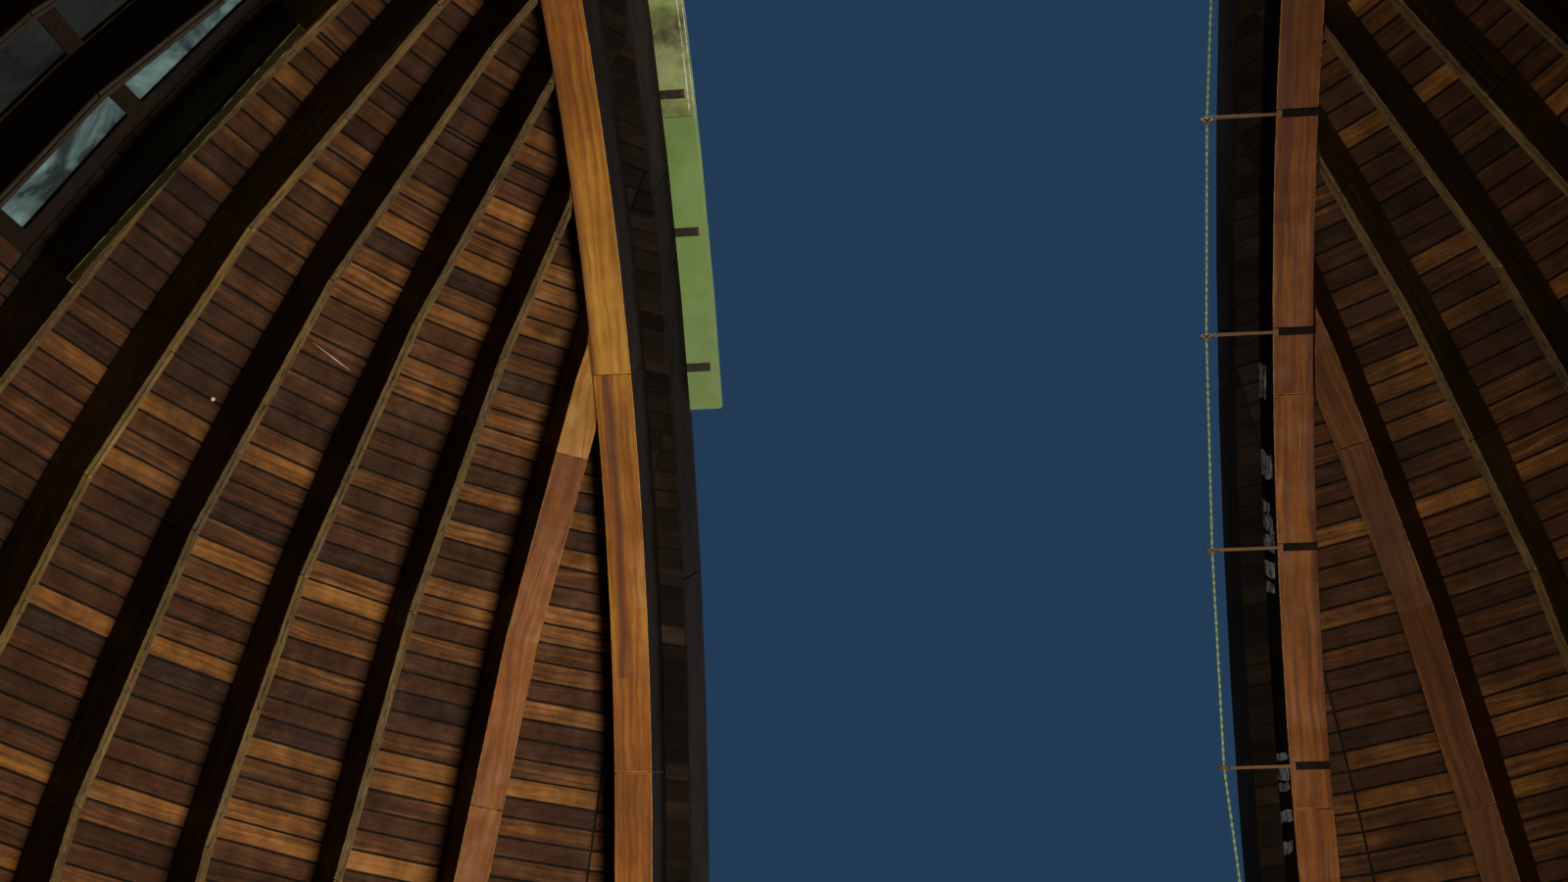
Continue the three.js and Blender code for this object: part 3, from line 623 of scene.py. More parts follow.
paints = {
    "leafPaint": {
        "colour": (0.120, 0.255, 0.062), "second": (0.155, 0.29, 0.085), "grimeColour": (0.06, 0.12, 0.03),
        "grime": 0.4, "mottleColour": (0.20, 0.33, 0.12), "mottle": 0.25, "wornColour": (0.30, 0.42, 0.20),
        "wear": 0.5, "patch": 2.2, "streakScale": (3, 1, 0.4), "rough": (0.35, 0.6),
        "bumpScale": 60.0, "bump": 0.2,
    },
    # painted highlights: the light mottle and the pale worn edges stand for the sheen on this glossy sheet
    "leafGlossAndHighlight": {
        "colour": (0.10, 0.16, 0.045), "second": (0.35, 0.48, 0.18), "grimeColour": (0.030, 0.035, 0.014),
        "grime": 0.95, "mottleColour": (0.46, 0.56, 0.32), "mottle": 0.45, "wornColour": (0.75, 0.82, 0.62),
        "wear": 0.9, "patch": 3.4, "streakScale": (2, 2, 1), "rough": (0.12, 0.4),
        "bumpScale": 25.0, "bump": 0.3,
    },
    "leafWeathered": {
        "colour": (0.125, 0.195, 0.085), "second": (0.185, 0.255, 0.13), "grimeColour": (0.055, 0.07, 0.038),
        "grime": 0.65, "mottleColour": (0.235, 0.285, 0.17), "mottle": 0.35, "wornColour": (0.36, 0.38, 0.28),
        "wear": 0.8, "patch": 1.3, "streakScale": (3, 1, 0.4), "rough": (0.6, 0.85),
        "bumpScale": 45.0, "bump": 0.3, "specular": 0.25,
    },
    "sheetPaint": {
        "colour": (0.20, 0.235, 0.215), "second": (0.29, 0.325, 0.295), "grimeColour": (0.10, 0.105, 0.09),
        "grime": 0.4, "mottleColour": (0.33, 0.36, 0.32), "mottle": 0.3, "wornColour": (0.45, 0.46, 0.42),
        "wear": 0.6, "patch": 0.9, "streakScale": (2.5, 2.5, 0.35), "rough": (0.35, 0.6),
        "bumpScale": 12.0, "bump": 0.15, "metal": 0.35,
    },
    "stilePaint": {
        "colour": (0.01, 0.01, 0.005), "second": (0.018, 0.017, 0.008), "grimeColour": (0.006, 0.005, 0.004),
        "grime": 0.6, "mottleColour": (0.024, 0.022, 0.010), "mottle": 0.3, "wornColour": (0.15, 0.14, 0.045),
        "wear": 1.0, "patch": 3.0, "streakScale": (1, 1, 0.3), "rough": (0.7, 0.95),
        "bumpScale": 80.0, "bump": 0.3, "specular": 0.04,
    },
}
leafPaint, leafGlossAndHighlight, leafWeathered, sheetPaint, stilePaint = [
    paintedMaterial(name, look) for name, look in paints.items()]


def ironMaterial(name, look):
    material, tree, spot = startMaterial(name)
    inputs = {"Vector": spot, "Amount": look["rust"]}
    rust, pitting = addNode(tree, "ShaderNodeGroup", inputs, node_tree=corrosionGroup).outputs
    base = mixColour(tree, noise(tree, spot, 11.0, 4.0), look["colour"], look["second"])
    brown = mixColour(tree, noise(tree, spot, 34.0, 5.0, 0.7), (0.11, 0.035, 0.012), (0.30, 0.115, 0.035))
    rest = {"Metallic": ramp(tree, rust, 0.0, 1.0, look["metal"], 0.0)} if look["metal"] else {}
    colour = mixColour(tree, rust, base, brown)
    rough = ramp(tree, rust, 0.0, 1.0, look["rough"], 0.88)
    finishMaterial(tree, colour, rough, pitting, bump=0.35, depth=0.001, rest=rest)
    return material


irons = {
    "blackIron": {
        "colour": (0.010, 0.009, 0.008), "second": (0.028, 0.023, 0.020),
        "rust": 0.6, "rough": 0.55, "metal": 0.5,
    },
    "oiledRod": {
        "colour": (0.07, 0.030, 0.012), "second": (0.15, 0.075, 0.025),
        "rust": 0.5, "rough": 0.7, "metal": 0.0,
    },
    "wornSteel": {
        "colour": (0.22, 0.21, 0.20), "second": (0.36, 0.35, 0.33),
        "rust": 0.5, "rough": 0.3, "metal": 0.9,
    },
}
blackIron, oiledRod, wornSteel = [ironMaterial(name, look) for name, look in irons.items()]

# Colours of the finishes that only one piece or kind of piece has
colours = {
    "ropeHollowShade": (0.08, 0.16, 0.09), "ropeCrest": (0.24, 0.40, 0.26), "ropeFibre": (0.20, 0.28, 0.19),
    "glassClear": (0.022, 0.042, 0.058), "glassDust": (0.22, 0.41, 0.46), "glassSpeck": (0.09, 0.13, 0.16),
    "glassShade": (0.006, 0.010, 0.013),
    "brickDark": (0.075, 0.03, 0.026), "brickMiddle": (0.22, 0.07, 0.042), "brickLight": (0.36, 0.155, 0.085),
    "brickSpeck": (0.12, 0.055, 0.04), "brickGrime": (0.09, 0.065, 0.055), "brickDamp": (0.085, 0.08, 0.055),
    "litPatch": ((0.24, 0.25, 0.22), (0.55, 0.57, 0.55)), "underLitPatch": (0.012, 0.009, 0.007),
    "mortar": ((0.30, 0.28, 0.24), (0.46, 0.43, 0.37)), "plaster": ((0.56, 0.54, 0.48), (0.66, 0.64, 0.58)),
    "plasterGrime": (0.34, 0.30, 0.24), "plasterDamp": (0.27, 0.25, 0.19),
    "splinter": ((0.50, 0.48, 0.38), (0.80, 0.79, 0.70)), "step": ((0.28, 0.26, 0.22), (0.42, 0.39, 0.33)),
    "floor": ((0.62, 0.61, 0.59), (0.68, 0.67, 0.65)),
}
wallRadii = (4.11, 4.13)        # radii between which plaster gives way to mortar, inside the walls
shadedPanes = (-74.6, -71.6)     # azimuths between which the skylight's glass goes from near black with painted shade to its own colour


def ropeMaterial():
    # slanting bands along the rope stand for its strands, with painted shade in the hollows between them
    material, tree = startMaterial("ropeFibre")[:2]
    along = grainMap(tree)
    inputs = {"Vector": along, "Scale": 20.0, "Distortion": 0.6, "Detail": 2.0}
    bands = addNode(tree, "ShaderNodeTexWave", inputs, bands_direction="DIAGONAL").outputs["Fac"]
    fibre = noise(tree, scaled(tree, along, (30.0, 200.0, 1.0)), 4.0, 4.0)
    colour = mixColour(tree, bands, colours["ropeHollowShade"], colours["ropeCrest"])
    colour = mixColour(tree, ramp(tree, fibre, 0.4, 0.8), colour, colours["ropeFibre"])
    rough = ramp(tree, fibre, 0.2, 0.8, 0.7, 0.95)
    finishMaterial(tree, colour, rough, bands, bump=0.8, depth=0.002)
    return material


def glassMaterial():
    # panes clouded by dust and old rain marks, the outer two painted nearly black as shade
    material, tree, spot = startMaterial("cloudyGlass")
    cloud = noise(tree, scaled(tree, spot, (1.0, 1.0, 0.45)), 5.0, 7.0, 0.65, 0.8)
    speck = noise(tree, spot, 45.0, 5.0, 0.7)
    parts = partsOf(tree, spot)
    azimuth = calc(tree, "ARCTAN2", parts["X"], parts["Y"])
    # painted shade: the outer panes go nearly black
    litShare = ramp(tree, azimuth, *[math.radians(a) for a in shadedPanes], 0.05, 1.0)
    colour = mixColour(tree, ramp(tree, cloud, 0.40, 0.64), colours["glassClear"], colours["glassDust"])
    colour = mixColour(tree, ramp(tree, speck, 0.58, 0.75), colour, colours["glassSpeck"])
    colour = mixColour(tree, litShare, colours["glassShade"], colour)
    rough = ramp(tree, cloud, 0.3, 0.7, 0.35, 0.7)
    rest = {"Specular IOR Level": 0.2, "Transmission Weight": 0.35, "IOR": 1.45}
    finishMaterial(tree, colour, rough, cloud, bump=0.2, depth=0.002, rest=rest)
    return material


def brickMaterial():
    material, tree, spot = startMaterial("firedBrick")
    colour = colourRamp(tree, attribute(tree, "tone"), (0.05, colours["brickDark"]),
                        (0.45, colours["brickMiddle"]), (0.95, colours["brickLight"]))
    speck = noise(tree, spot, 70.0, 6.0, 0.7)
    colour = mixColour(tree, ramp(tree, speck, 0.3, 0.75, 0.0, 0.5), colour, colours["brickSpeck"])
    wear = wearOn(tree, spot, 0.5, 0.8)
    colour = stain(tree, colour, wear["Grime"], 0.35, colours["brickGrime"])
    damp = times(tree, ramp(tree, partsOf(tree, spot)["Z"], 0.55, 0.0), wear["Mottle"])
    colour = stain(tree, colour, damp, 0.55, colours["brickDamp"])
    rough = ramp(tree, speck, 0.2, 0.8, 0.75, 0.95)
    finishMaterial(tree, colour, rough, speck, bump=0.6, depth=0.003)
    return material


def wallMaterial():
    # lime mortar behind the bricks, limewashed plaster on the room side
    material, tree, spot = startMaterial("wallLime")
    parts = partsOf(tree, spot)
    flat = addNode(tree, "ShaderNodeCombineXYZ", {"X": parts["X"], "Y": parts["Y"]}).outputs[0]
    reach = addNode(tree, "ShaderNodeVectorMath", {"Vector": flat}, operation="LENGTH").outputs["Value"]
    outside = ramp(tree, reach, *wallRadii)
    fine = noise(tree, spot, 55.0, 7.0, 0.65)
    wear = wearOn(tree, spot, 0.5, 0.8)
    plaster = mixColour(tree, fine, *colours["plaster"])
    plaster = stain(tree, plaster, wear["Grime"], 0.5, colours["plasterGrime"])
    rising = times(tree, ramp(tree, parts["Z"], 0.9, 0.0), wear["Mottle"])
    plaster = stain(tree, plaster, rising, 0.6, colours["plasterDamp"])
    colour = mixColour(tree, outside, plaster, mixColour(tree, fine, *colours["mortar"]))
    rough = ramp(tree, fine, 0.2, 0.8, 0.7, 0.95)
    finishMaterial(tree, colour, rough, fine, bump=0.6, depth=0.003)
    return material


def litPatchMaterial():
    # painted light: pale patches where light falls on the arch's pale side, made as paint gone in holes, with
    # the black wood showing through
    material, tree, spot = startMaterial("paintedLightPatch")
    holes = ramp(tree, noise(tree, spot, 24.0, 6.0, 0.7), 0.40, 0.58)
    tint = mixColour(tree, noise(tree, spot, 9.0, 3.0), *colours["litPatch"])
    colour = mixColour(tree, holes, colours["underLitPatch"], tint)
    rough = ramp(tree, holes, 0.0, 1.0, 0.95, 0.7)
    finishMaterial(tree, colour, rough, holes, bump=0.4, depth=0.001, rest={"Specular IOR Level": 0.1})
    return material


def coarseMaterial(name, first, second, scale, bump):
    # torn wood or worn stone
    material, tree, spot = startMaterial(name)
    fine = noise(tree, spot, scale, 7.0, 0.65)
    wear = wearOn(tree, spot, 0.6, 1.4)
    colour = mixColour(tree, fine, first, second)
    colour = stain(tree, colour, wear["Grime"], 0.4, [c * 0.55 for c in first])
    colour = mixColour(tree, wear["Worn"], colour, [min(1.0, c * 1.35) for c in second])
    rough = ramp(tree, fine, 0.2, 0.8, 0.7, 0.95)
    finishMaterial(tree, colour, rough, fine, bump=bump, depth=0.003)
    return material


ropeFibre = ropeMaterial()
cloudyGlass = glassMaterial()
firedBrick = brickMaterial()
wallLime = wallMaterial()
paintedLightPatch = litPatchMaterial()
paleSplinter = coarseMaterial("paleSplinter", *colours["splinter"], scale=40.0, bump=0.3)
stepStone = coarseMaterial("stepStone", *colours["step"], scale=30.0, bump=0.5)
print("finishes made")


# Lining: boards between the ribs, one course a seventh of a flat high

lining = {
    "thickness": 0.020,
    "foot": -0.3,               # elevation
    "courses": 7,
    "joint": 0.0030,            # half the gap between two boards
    "jointDepth": 0.007,
    "arris": 0.0020,
    "proud": (-0.0015, 0.0006),     # how far a board stands out or in
    "leastArea": 0.0009,        # a smaller face is a sliver without joints
    "boardLength": (1, 1, 1, 2, 2, 3),      # bays
    "tone": (0.46, 0.20),       # middle and spread
    "jambTone": (0.40, 0.22),   # beside the slit, where the boards are black with damp
    "jambEdge": 1.356,          # hidden behind the arch
    "grainShift": 40,           # how far apart in the grain map two courses can lie
    "toneShift": 17.0,          # and a course's darkest and lightest board
    "jointSoot": 1.0,
    "arrisSoot": 0.75,
    # painted shade on the boards beside the skylight
    "skylightShade": 0.9,
    # courses that show darker or lighter than the rest: azimuths, elevations, tone
    "marked": [
        ((-52.5, -37.5), (31.2, 32.6), 0.04), ((-37.5, -30.0), (24.8, 26.2), 0.05),
        ((-52.5, -45.0), (47.0, 48.2), 0.05), ((-60.0, -52.5), (37.4, 38.6), 0.08),
        ((-45.0, -30.0), (20.4, 21.6), 0.92), ((-37.5, -22.5), (46.0, 50.4), 0.86),
        ((-45.0, -37.5), (28.8, 30.1), 0.90), ((-60.0, -45.0), (23.5, 24.7), 0.88),
        ((-45.0, -37.5), (51.3, 52.6), 0.90),
    ],
    "inShade": [((-68.7, -67.4), (36.0, 56.0)), ((-82.6, -81.3), (36.0, 56.0))],      # beside the skylight, where the boards get painted shade
}


def domeLines(node, azimuths, foot, step):
    # the azimuths and elevations of a segment's grid, with the skylight's edges among them
    columns = steps(azimuths[0] + dome["segmentGap"], azimuths[1] - dome["segmentGap"], dome["bay"])
    rows = [foot] + steps(0, dome["topElevation"], step)
    if node == "shell_left_front":
        columns, rows = sorted(columns + [*dome["skylight"][0]]), sorted(rows + [*dome["skylight"][1]])
    return columns, [r for k, r in enumerate(rows) if k == 0 or r - rows[k - 1] > dome["leastRow"]]


def boardTones(columns, rows, draw):
    # one tone for each run of bays in each course
    tones = {}
    for j in range(len(rows) - 1):
        i = 0
        while i < len(columns) - 1:
            run = draw.choice(lining["boardLength"])
            tone = clamp(draw.gauss(*lining["tone"]), 0.04, 0.98)
            for k in range(i, min(i + run, len(columns) - 1)):
                tones[(k, j)] = tone
            i += run
    for (a0, a1), (e0, e1), tone in lining["marked"]:
        for i, j in tones:
            middleA, middleE = (columns[i] + columns[i + 1]) / 2, (rows[j] + rows[j + 1]) / 2
            if a0 < middleA < a1 and e0 < middleE < e1:
                tones[(i, j)] = tone
    return tones


def gridOnDome(columns, rows, radius, tones, draw):
    # a sheet on the dome's flats, open at the skylight and the slit
    bm = newBmesh()
    across, up = len(columns) - 1, len(rows) - 1
    made = bmesh.ops.create_grid(bm, x_segments=across, y_segments=up, size=0.5)
    grain = bm.loops.layers.uv["grain"]
    toneLayer = bm.faces.layers.float["tone"]
    index = {}
    for vert in made["verts"]:
        i, j = round((vert.co.x + 0.5) * across), round((vert.co.y + 0.5) * up)
        index[vert] = (i, j)
        vert.co = facetPoint(columns[i], rows[j], radius)
    shifts = {}
    for face in bm.faces:
        cell = (min(index[v][0] for v in face.verts), min(index[v][1] for v in face.verts))
        tone = tones.get(cell, middleTone)
        face[toneLayer] = tone
        shift = shifts.setdefault(cell[1], draw.uniform(0, lining["grainShift"]))
        for loop in face.loops:
            i, j = index[loop.vert]
            u = math.radians(columns[i]) * radius * math.cos(math.radians(rows[cell[1]]))
            loop[grain].uv = (u + shift + tone * lining["toneShift"], math.radians(rows[j]) * radius)
    hole = [f for f in bm.faces if within(fromCentre(f), *dome["skylight"])]
    bmesh.ops.delete(bm, geom=hole, context="FACES")
    return bm


def cutSlit(bm, half):
    # cuts the faces near the slit along its sides and its head, and drops those inside
    head = planePoint(0, dome["headAngle"], 1.0) - domeCentre
    headNormal = Vector((0, -head.z, head.y))
    across = Vector((1, 0, 0))
    for point, normal in ((across * half, across), (across * -half, across), (domeCentre, headNormal)):
        near = [f for f in bm.faces if abs(f.calc_center_median().x) < half + dome["besideSlit"]]
        geom = list(dict.fromkeys(g for f in near for g in list(f.verts) + list(f.edges))) + near
        bmesh.ops.bisect_plane(bm, geom=geom, plane_co=point, plane_no=normal, dist=onCut)
    inside = [f for f in bm.faces if abs(fromCentre(f).x) < half and fromCentre(f).dot(headNormal) < 0]
    bmesh.ops.delete(bm, geom=inside, context="FACES")


def thicken(bm, outward):
    # pushes a copy of the sheet outwards, joins the two all round and gives the inner faces
    inner = bm.faces[:]
    made = bmesh.ops.extrude_face_region(bm, geom=inner)
    for vert in made["geom"]:
        if isinstance(vert, bmesh.types.BMVert):
            vert.co = domeCentre + (vert.co - domeCentre) * outward
    bmesh.ops.recalc_face_normals(bm, faces=bm.faces[:])
    return inner


def makeLining(node, azimuths, draw):
    columns, rows = domeLines(node, azimuths, lining["foot"], dome["bay"] / lining["courses"])
    radius = dome["boardFace"] + lining["jointDepth"]
    bm = gridOnDome(columns, rows, radius, boardTones(columns, rows, draw), draw)
    cutSlit(bm, dome["slitHalf"])
    for side in (-1, 1):
        edge = (side * lining["jambEdge"], 0, 0)
        bmesh.ops.bisect_plane(bm, geom=wholeOf(bm), plane_co=edge, plane_no=(1, 0, 0), dist=onCut)
    inner = thicken(bm, (dome["boardFace"] + lining["thickness"]) / radius)
    markFaces(bm, "sootAndShade", [f for f in inner if f.calc_area() < lining["leastArea"]], lining["jointSoot"])
    boards = [f for f in inner if f.calc_area() >= lining["leastArea"]]
    for width, depth, sootAndShade in ((lining["joint"], 0.0, lining["jointSoot"]),
                               (lining["arris"], lining["jointDepth"], lining["arrisSoot"])):
        made = bmesh.ops.inset_individual(bm, faces=boards, thickness=width, depth=depth,
                                          use_even_offset=True, use_interpolate=True)
        markFaces(bm, "sootAndShade", made["faces"], sootAndShade)
    sootAndShadeLayer = bm.faces.layers.float["sootAndShade"]
    toneLayer = bm.faces.layers.float["tone"]
    for face in boards:
        push = draw.uniform(*lining["proud"])
        for vert in face.verts:
            vert.co += face.normal * push
        spot = fromCentre(face)
        if dome["slitHalf"] < abs(spot.x) < lining["jambEdge"] and slitAngle(spot) < dome["headAngle"]:
            face[toneLayer] = max(0.02, draw.gauss(*lining["jambTone"]))
        # painted shade on the boards beside the skylight
        if any(within(spot, *area) for area in lining["inShade"]):
            face[sootAndShadeLayer] = lining["skylightShade"]
    for face in bm.faces:
        spot = fromCentre(face)
        if abs(spot.x) < lining["jambEdge"] and slitAngle(spot) < dome["headAngle"]:
            face.material_index = sootAndShadeSlot
    makePiece("lining_" + node[6:], bm, [boardTimber, sootAndShadeTimber], "dome", [node])


# Skin: painted sheet in panels, with a standing seam over each rib

skin = {
    "gapUnder": 0.0006,
    "foot": -0.5,               # elevation
    "lap": 0.016,
    "lapDepth": 0.0025,
    "leastArea": 0.004,         # a smaller face has no lap
    "seamHeight": 0.022,
    "seamSunk": 0.004,
    "seamWidth": 0.012,
    "seamBevel": 0.002,
    "seamFoot": 0.3,            # elevation
    "seamWear": 0.15,
    "curbClear": 1.262,         # seams stop beside the curbs
    "headClear": 3.5,           # degrees behind the slit's head
    "jambDepth": 0.012,         # how far the skin's edge in the slit reaches back
}


def makeSkin(node, azimuths, draw):
    columns, rows = domeLines(node, azimuths, skin["foot"], dome["bay"])
    innerRadius = dome["boardFace"] + lining["thickness"] + skin["gapUnder"]
    bm = gridOnDome(columns, rows, innerRadius, {}, draw)
    # flush with the outer corner of the boards' ends
    cutSlit(bm, dome["slitHalf"] * innerRadius / (dome["boardFace"] + lining["jointDepth"]))
    inner = set(thicken(bm, (dome["skinOuter"] - skin["lapDepth"]) / innerRadius))
    outer = [f for f in bm.faces if f not in inner and f.normal.dot(fromCentre(f).normalized()) > facing
             and f.calc_area() > skin["leastArea"]]
    bmesh.ops.inset_individual(bm, faces=outer, thickness=skin["lap"], depth=skin["lapDepth"],
                               use_even_offset=True)
    for face in bm.faces:
        face.normal_update()
        if abs(fromCentre(face).x) < dome["slitHalf"] + skin["jambDepth"] and abs(face.normal.x) > facing:
            face.material_index = sootAndShadeSlot
    seams = newBmesh()
    # the seam between two segments goes with the one that starts there
    for azimuth in steps(*azimuths, dome["bay"])[:-1]:
        addSeam(seams, azimuth)
    edgeLayer = seams.faces.layers.float["edge"]
    for face in seams.faces:
        face[edgeLayer] = max(face[edgeLayer], skin["seamWear"])
    makePiece("sheet_" + node[6:], bm, [sheetPaint, sootAndShadeTimber], "dome", [node])
    makePiece("seams_" + node[6:], seams, [sheetPaint], "dome")


def addSeam(bm, azimuth):
    # one strip on edge, flat by flat up the meridian, clear of the curbs, the head and the skylight
    side = levelAxes(azimuth)[0]
    foot, crest = dome["skinOuter"] - skin["seamSunk"], dome["skinOuter"] + skin["seamHeight"]
    (a0, a1), (e0, e1) = dome["skylight"]
    rows = steps(skin["seamFoot"], dome["topElevation"], dome["bay"])
    for low, high in zip(rows, rows[1:]):
        if a0 < azimuth < a1 and low < e1 and high > e0:
            continue
        points = [spherePoint(azimuth, low, foot), spherePoint(azimuth, high, foot),
                  spherePoint(azimuth, high, crest), spherePoint(azimuth, low, crest)]
        middle = (points[0] + points[1]) / 2 - domeCentre
        if (min(abs(p.x) for p in points) < skin["curbClear"]
                and slitAngle(middle) < dome["headAngle"] + skin["headClear"]):
            continue
        outline = [p - side * (skin["seamWidth"] / 2) for p in points]
        addPlank(bm, outline, side * skin["seamWidth"], skin["seamBevel"], middleTone,
                 lambda co: (co.z, co.x))


draw = random.Random(7)
for node, azimuths in dome["segments"].items():
    makeLining(node, azimuths, draw)
    makeSkin(node, azimuths, draw)
print("lining and skin made")


# Ribs: planks on edge, two layers nailed face to face with their joints staggered

ribs = {
    "thickness": 0.034,
    "layerGap": 0.0008,
    "plankAngle": 15.0,
    "jointAngle": 0.02,         # degrees, half the gap between two planks
    "overTop": 6.0,             # how far the ribs run past the flats, hidden by the arches
    "bevel": 0.0025,
    "foot": -0.0385,            # from springing height down to the ring
    "outer": 4.3878,
    "unevenness": 0.0025,       # how far a plank's edge stands out or in
    "grainShift": 50,           # how far apart in the grain map two planks can lie
    "behindHead": 2.6,          # degrees from the slit's head to where the back ribs end
    "tone": (0.5, 0.12),        # middle and spread from rib to rib
    "plankSpread": 0.1,
    "sill": {"inner": 4.086, "outer": 4.386, "top": 0.020, "bevel": 0.003, "tone": 0.4},
    "shadedBeyond": -71.0,       # the ribs beyond this azimuth, by the skylight, get painted shade
    "sootAndShade": 0.9,
    # azimuths of the first and the last rib
    "groups": {
        "ribs_left_front": (-90.0, -37.5),
        "ribs_left_back": (-150.0, -97.5),
        "ribs_right_back": (97.5, 150.0),
        "ribs_right_front": (37.5, 90.0),
        "ribs_back": (165.0, 195.0),
    },
}


def chordRadius(angle, radius, step):
    # the distance at an angle of a polygon whose corners lie on a circle, one corner each step
    middle = (math.floor(angle / step + nearly) + 0.5) * step
    return radius * math.cos(math.radians(step / 2)) / math.cos(math.radians(angle - middle))


def meridianPlank(bm, azimuth, low, high, across, tone, draw):
    # one plank from one elevation to another, between two distances across the rib's plane
    side = levelAxes(azimuth)[0]
    innerRadius = dome["ribInner"] + draw.uniform(-ribs["unevenness"], ribs["unevenness"])
    sides = []
    for radius, step in ((innerRadius, ribs["plankAngle"]), (ribs["outer"], dome["bay"])):
        elevations = steps(low + ribs["jointAngle"], high - ribs["jointAngle"], step)
        sides.append([spherePoint(azimuth, e, chordRadius(e, radius, step)) for e in elevations])
    inner, outer = sides
    if low <= 0:
        inner[0] = spherePoint(azimuth, 0, dome["ribInner"]) + Vector((0, 0, ribs["foot"]))
        outer[0] = spherePoint(azimuth, 0, ribs["outer"]) + Vector((0, 0, ribs["foot"]))
    outline = [p + side * across[0] for p in inner + outer[::-1]]
    addPlank(bm, outline, side * (across[1] - across[0]), ribs["bevel"], tone,
             sweepPlace(azimuth, radius=4.2, lean=0.8), someShift(draw, ribs["grainShift"]))


def makeRibs(node, azimuths, draw):
    bm = newBmesh()
    half, gap, step = ribs["thickness"] / 2, ribs["layerGap"] / 2, ribs["plankAngle"]
    top = dome["topElevation"] + ribs["overTop"]
    azimuth = azimuths[0]
    while azimuth <= azimuths[1] + nearly:
        base = draw.gauss(*ribs["tone"])
        for across, first in (((-half, -gap), step), ((gap, half), step / 2)):
            joints = [0.0] + [first + step * k for k in range(math.ceil((top - first) / step))] + [top]
            for low, high in zip(joints, joints[1:]):
                tone = clamp(base + draw.gauss(0, ribs["plankSpread"]), 0.05, 0.95)
                meridianPlank(bm, azimuth, low, high, across, tone, draw)
        azimuth += dome["bay"]
    # painted shade on the ribs by the skylight
    if node == "ribs_left_front":
        inShade = [f for f in bm.faces if azimuthOf(f.calc_center_median()) < ribs["shadedBeyond"]]
        markFaces(bm, "sootAndShade", inShade, ribs["sootAndShade"])
    cutBesideArches(bm, node)
    addSill(bm, azimuths, draw)
    makePiece(node + "_planks", bm, [ribTimber], "dome", [node])


def cutBesideArches(bm, node):
    # the ribs stop against the arches, or behind the head beam
    if node == "ribs_back":
        head = planePoint(0, dome["headAngle"] + ribs["behindHead"], 1.0) - domeCentre
        cutAway(bm, domeCentre, Vector((0, head.z, -head.y)))
    else:
        side = -1 if "left" in node else 1
        cutAway(bm, Vector((side * (dome["archOuterX"] + ribs["layerGap"]), 0, 0)), Vector((-side, 0, 0)))


def addSill(bm, azimuths, draw):
    # a low curb on the ring between the ribs' feet
    sill, foot = ribs["sill"], Vector((0, 0, ribs["foot"]))
    places = steps(*azimuths, dome["bay"])
    for start, end in zip(places, places[1:]):
        corners = [(start, sill["inner"]), (end, sill["inner"]), (end, sill["outer"]), (start, sill["outer"])]
        points = [spherePoint(a, 0, r) + foot for a, r in corners]
        along, out = levelAxes((start + end) / 2)
        addPlank(bm, points, Vector((0, 0, sill["top"] - ribs["foot"])), sill["bevel"], sill["tone"],
                 lambda co: (co.dot(along), co.dot(out) + co.z), someShift(draw, ribs["grainShift"]))


for node, azimuths in ribs["groups"].items():
    makeRibs(node, azimuths, draw)


# A torn splinter that hangs from the boards, and the bright head of a new nail

splinter = {
    "ends": ((-49.6, 41.4), (-46.0, 40.9)),         # azimuths and elevations
    "radius": 4.384,
    "belly": (0.6, 0.004),      # share of the length, and how far it hangs there
    "width": 0.006,
    "thickness": 0.003,
    "bevel": 0.0005,
    "tone": 0.95,
}
nail = {"place": (-53.5, 36.5), "sunk": 0.001, "radius": 0.008, "height": 0.003, "sides": 10}


def makeSplinterAndNail():
    bm = newBmesh()
    start, end = [facetPoint(*place, splinter["radius"]) for place in splinter["ends"]]
    down = (domeCentre - start).normalized()
    middle = start.lerp(end, splinter["belly"][0]) + down * splinter["belly"][1]
    half = Vector((0, 0, splinter["width"] / 2))
    addPlank(bm, [start, middle + half, end, middle - half], down * splinter["thickness"], splinter["bevel"],
             splinter["tone"], beamPlace)
    spot = facetPoint(*nail["place"], dome["boardFace"] - nail["sunk"])
    addStud(bm, spot, (domeCentre - spot).normalized(), nail["radius"], nail["height"], nail["sides"])
    makePiece("splinter_and_nail", bm, [paleSplinter], "dome")


makeSplinterAndNail()
print("ribs made")


# Arches and heavy ribs

archPlace = sweepPlace(0, radius=4.0, lean=0.93)
arches = {
    "bevel": 0.004,
    "segments": 2,
    # angles over the front horizon
    "joints": {
        "slit_arch_left": [None, 25.2, 49.7, 74.2, 98.7, 123.2, 147.7, None],
        "slit_arch_right": [None, 22.0, 46.5, 71.0, 95.5, 120.0, 144.5, None],
    },
    # one tone for each plank between the joints
    "tones": {
        "slit_arch_left": [0.46, 0.50, 0.52, 0.46, 0.40, 0.45, 0.40],
        "slit_arch_right": [0.26, 0.20, 0.10, 0.08, 0.20, 0.35, 0.40],
    },
    # how the wood's colour goes along the left arch, darker towards both ends: angle over the front horizon
    # and change of tone
    "toneAlong": [(0, -0.16), (28, -0.06), (40, 0.10), (49.695, 0.20), (49.705, 0.42), (56, 0.38), (63, 0.20),
               (70, 0.02), (80, -0.14)],
    # darker streaks along the wood: from and to which angle, and how far out in x
    "streaks": {
        "slit_arch_left": [(30.0, 49.7, 1.408), (49.7, 110.0, 1.462)],
        "slit_arch_right": [(55.0, 72.0, 1.338), (20.0, 55.0, 1.462)],
    },
}


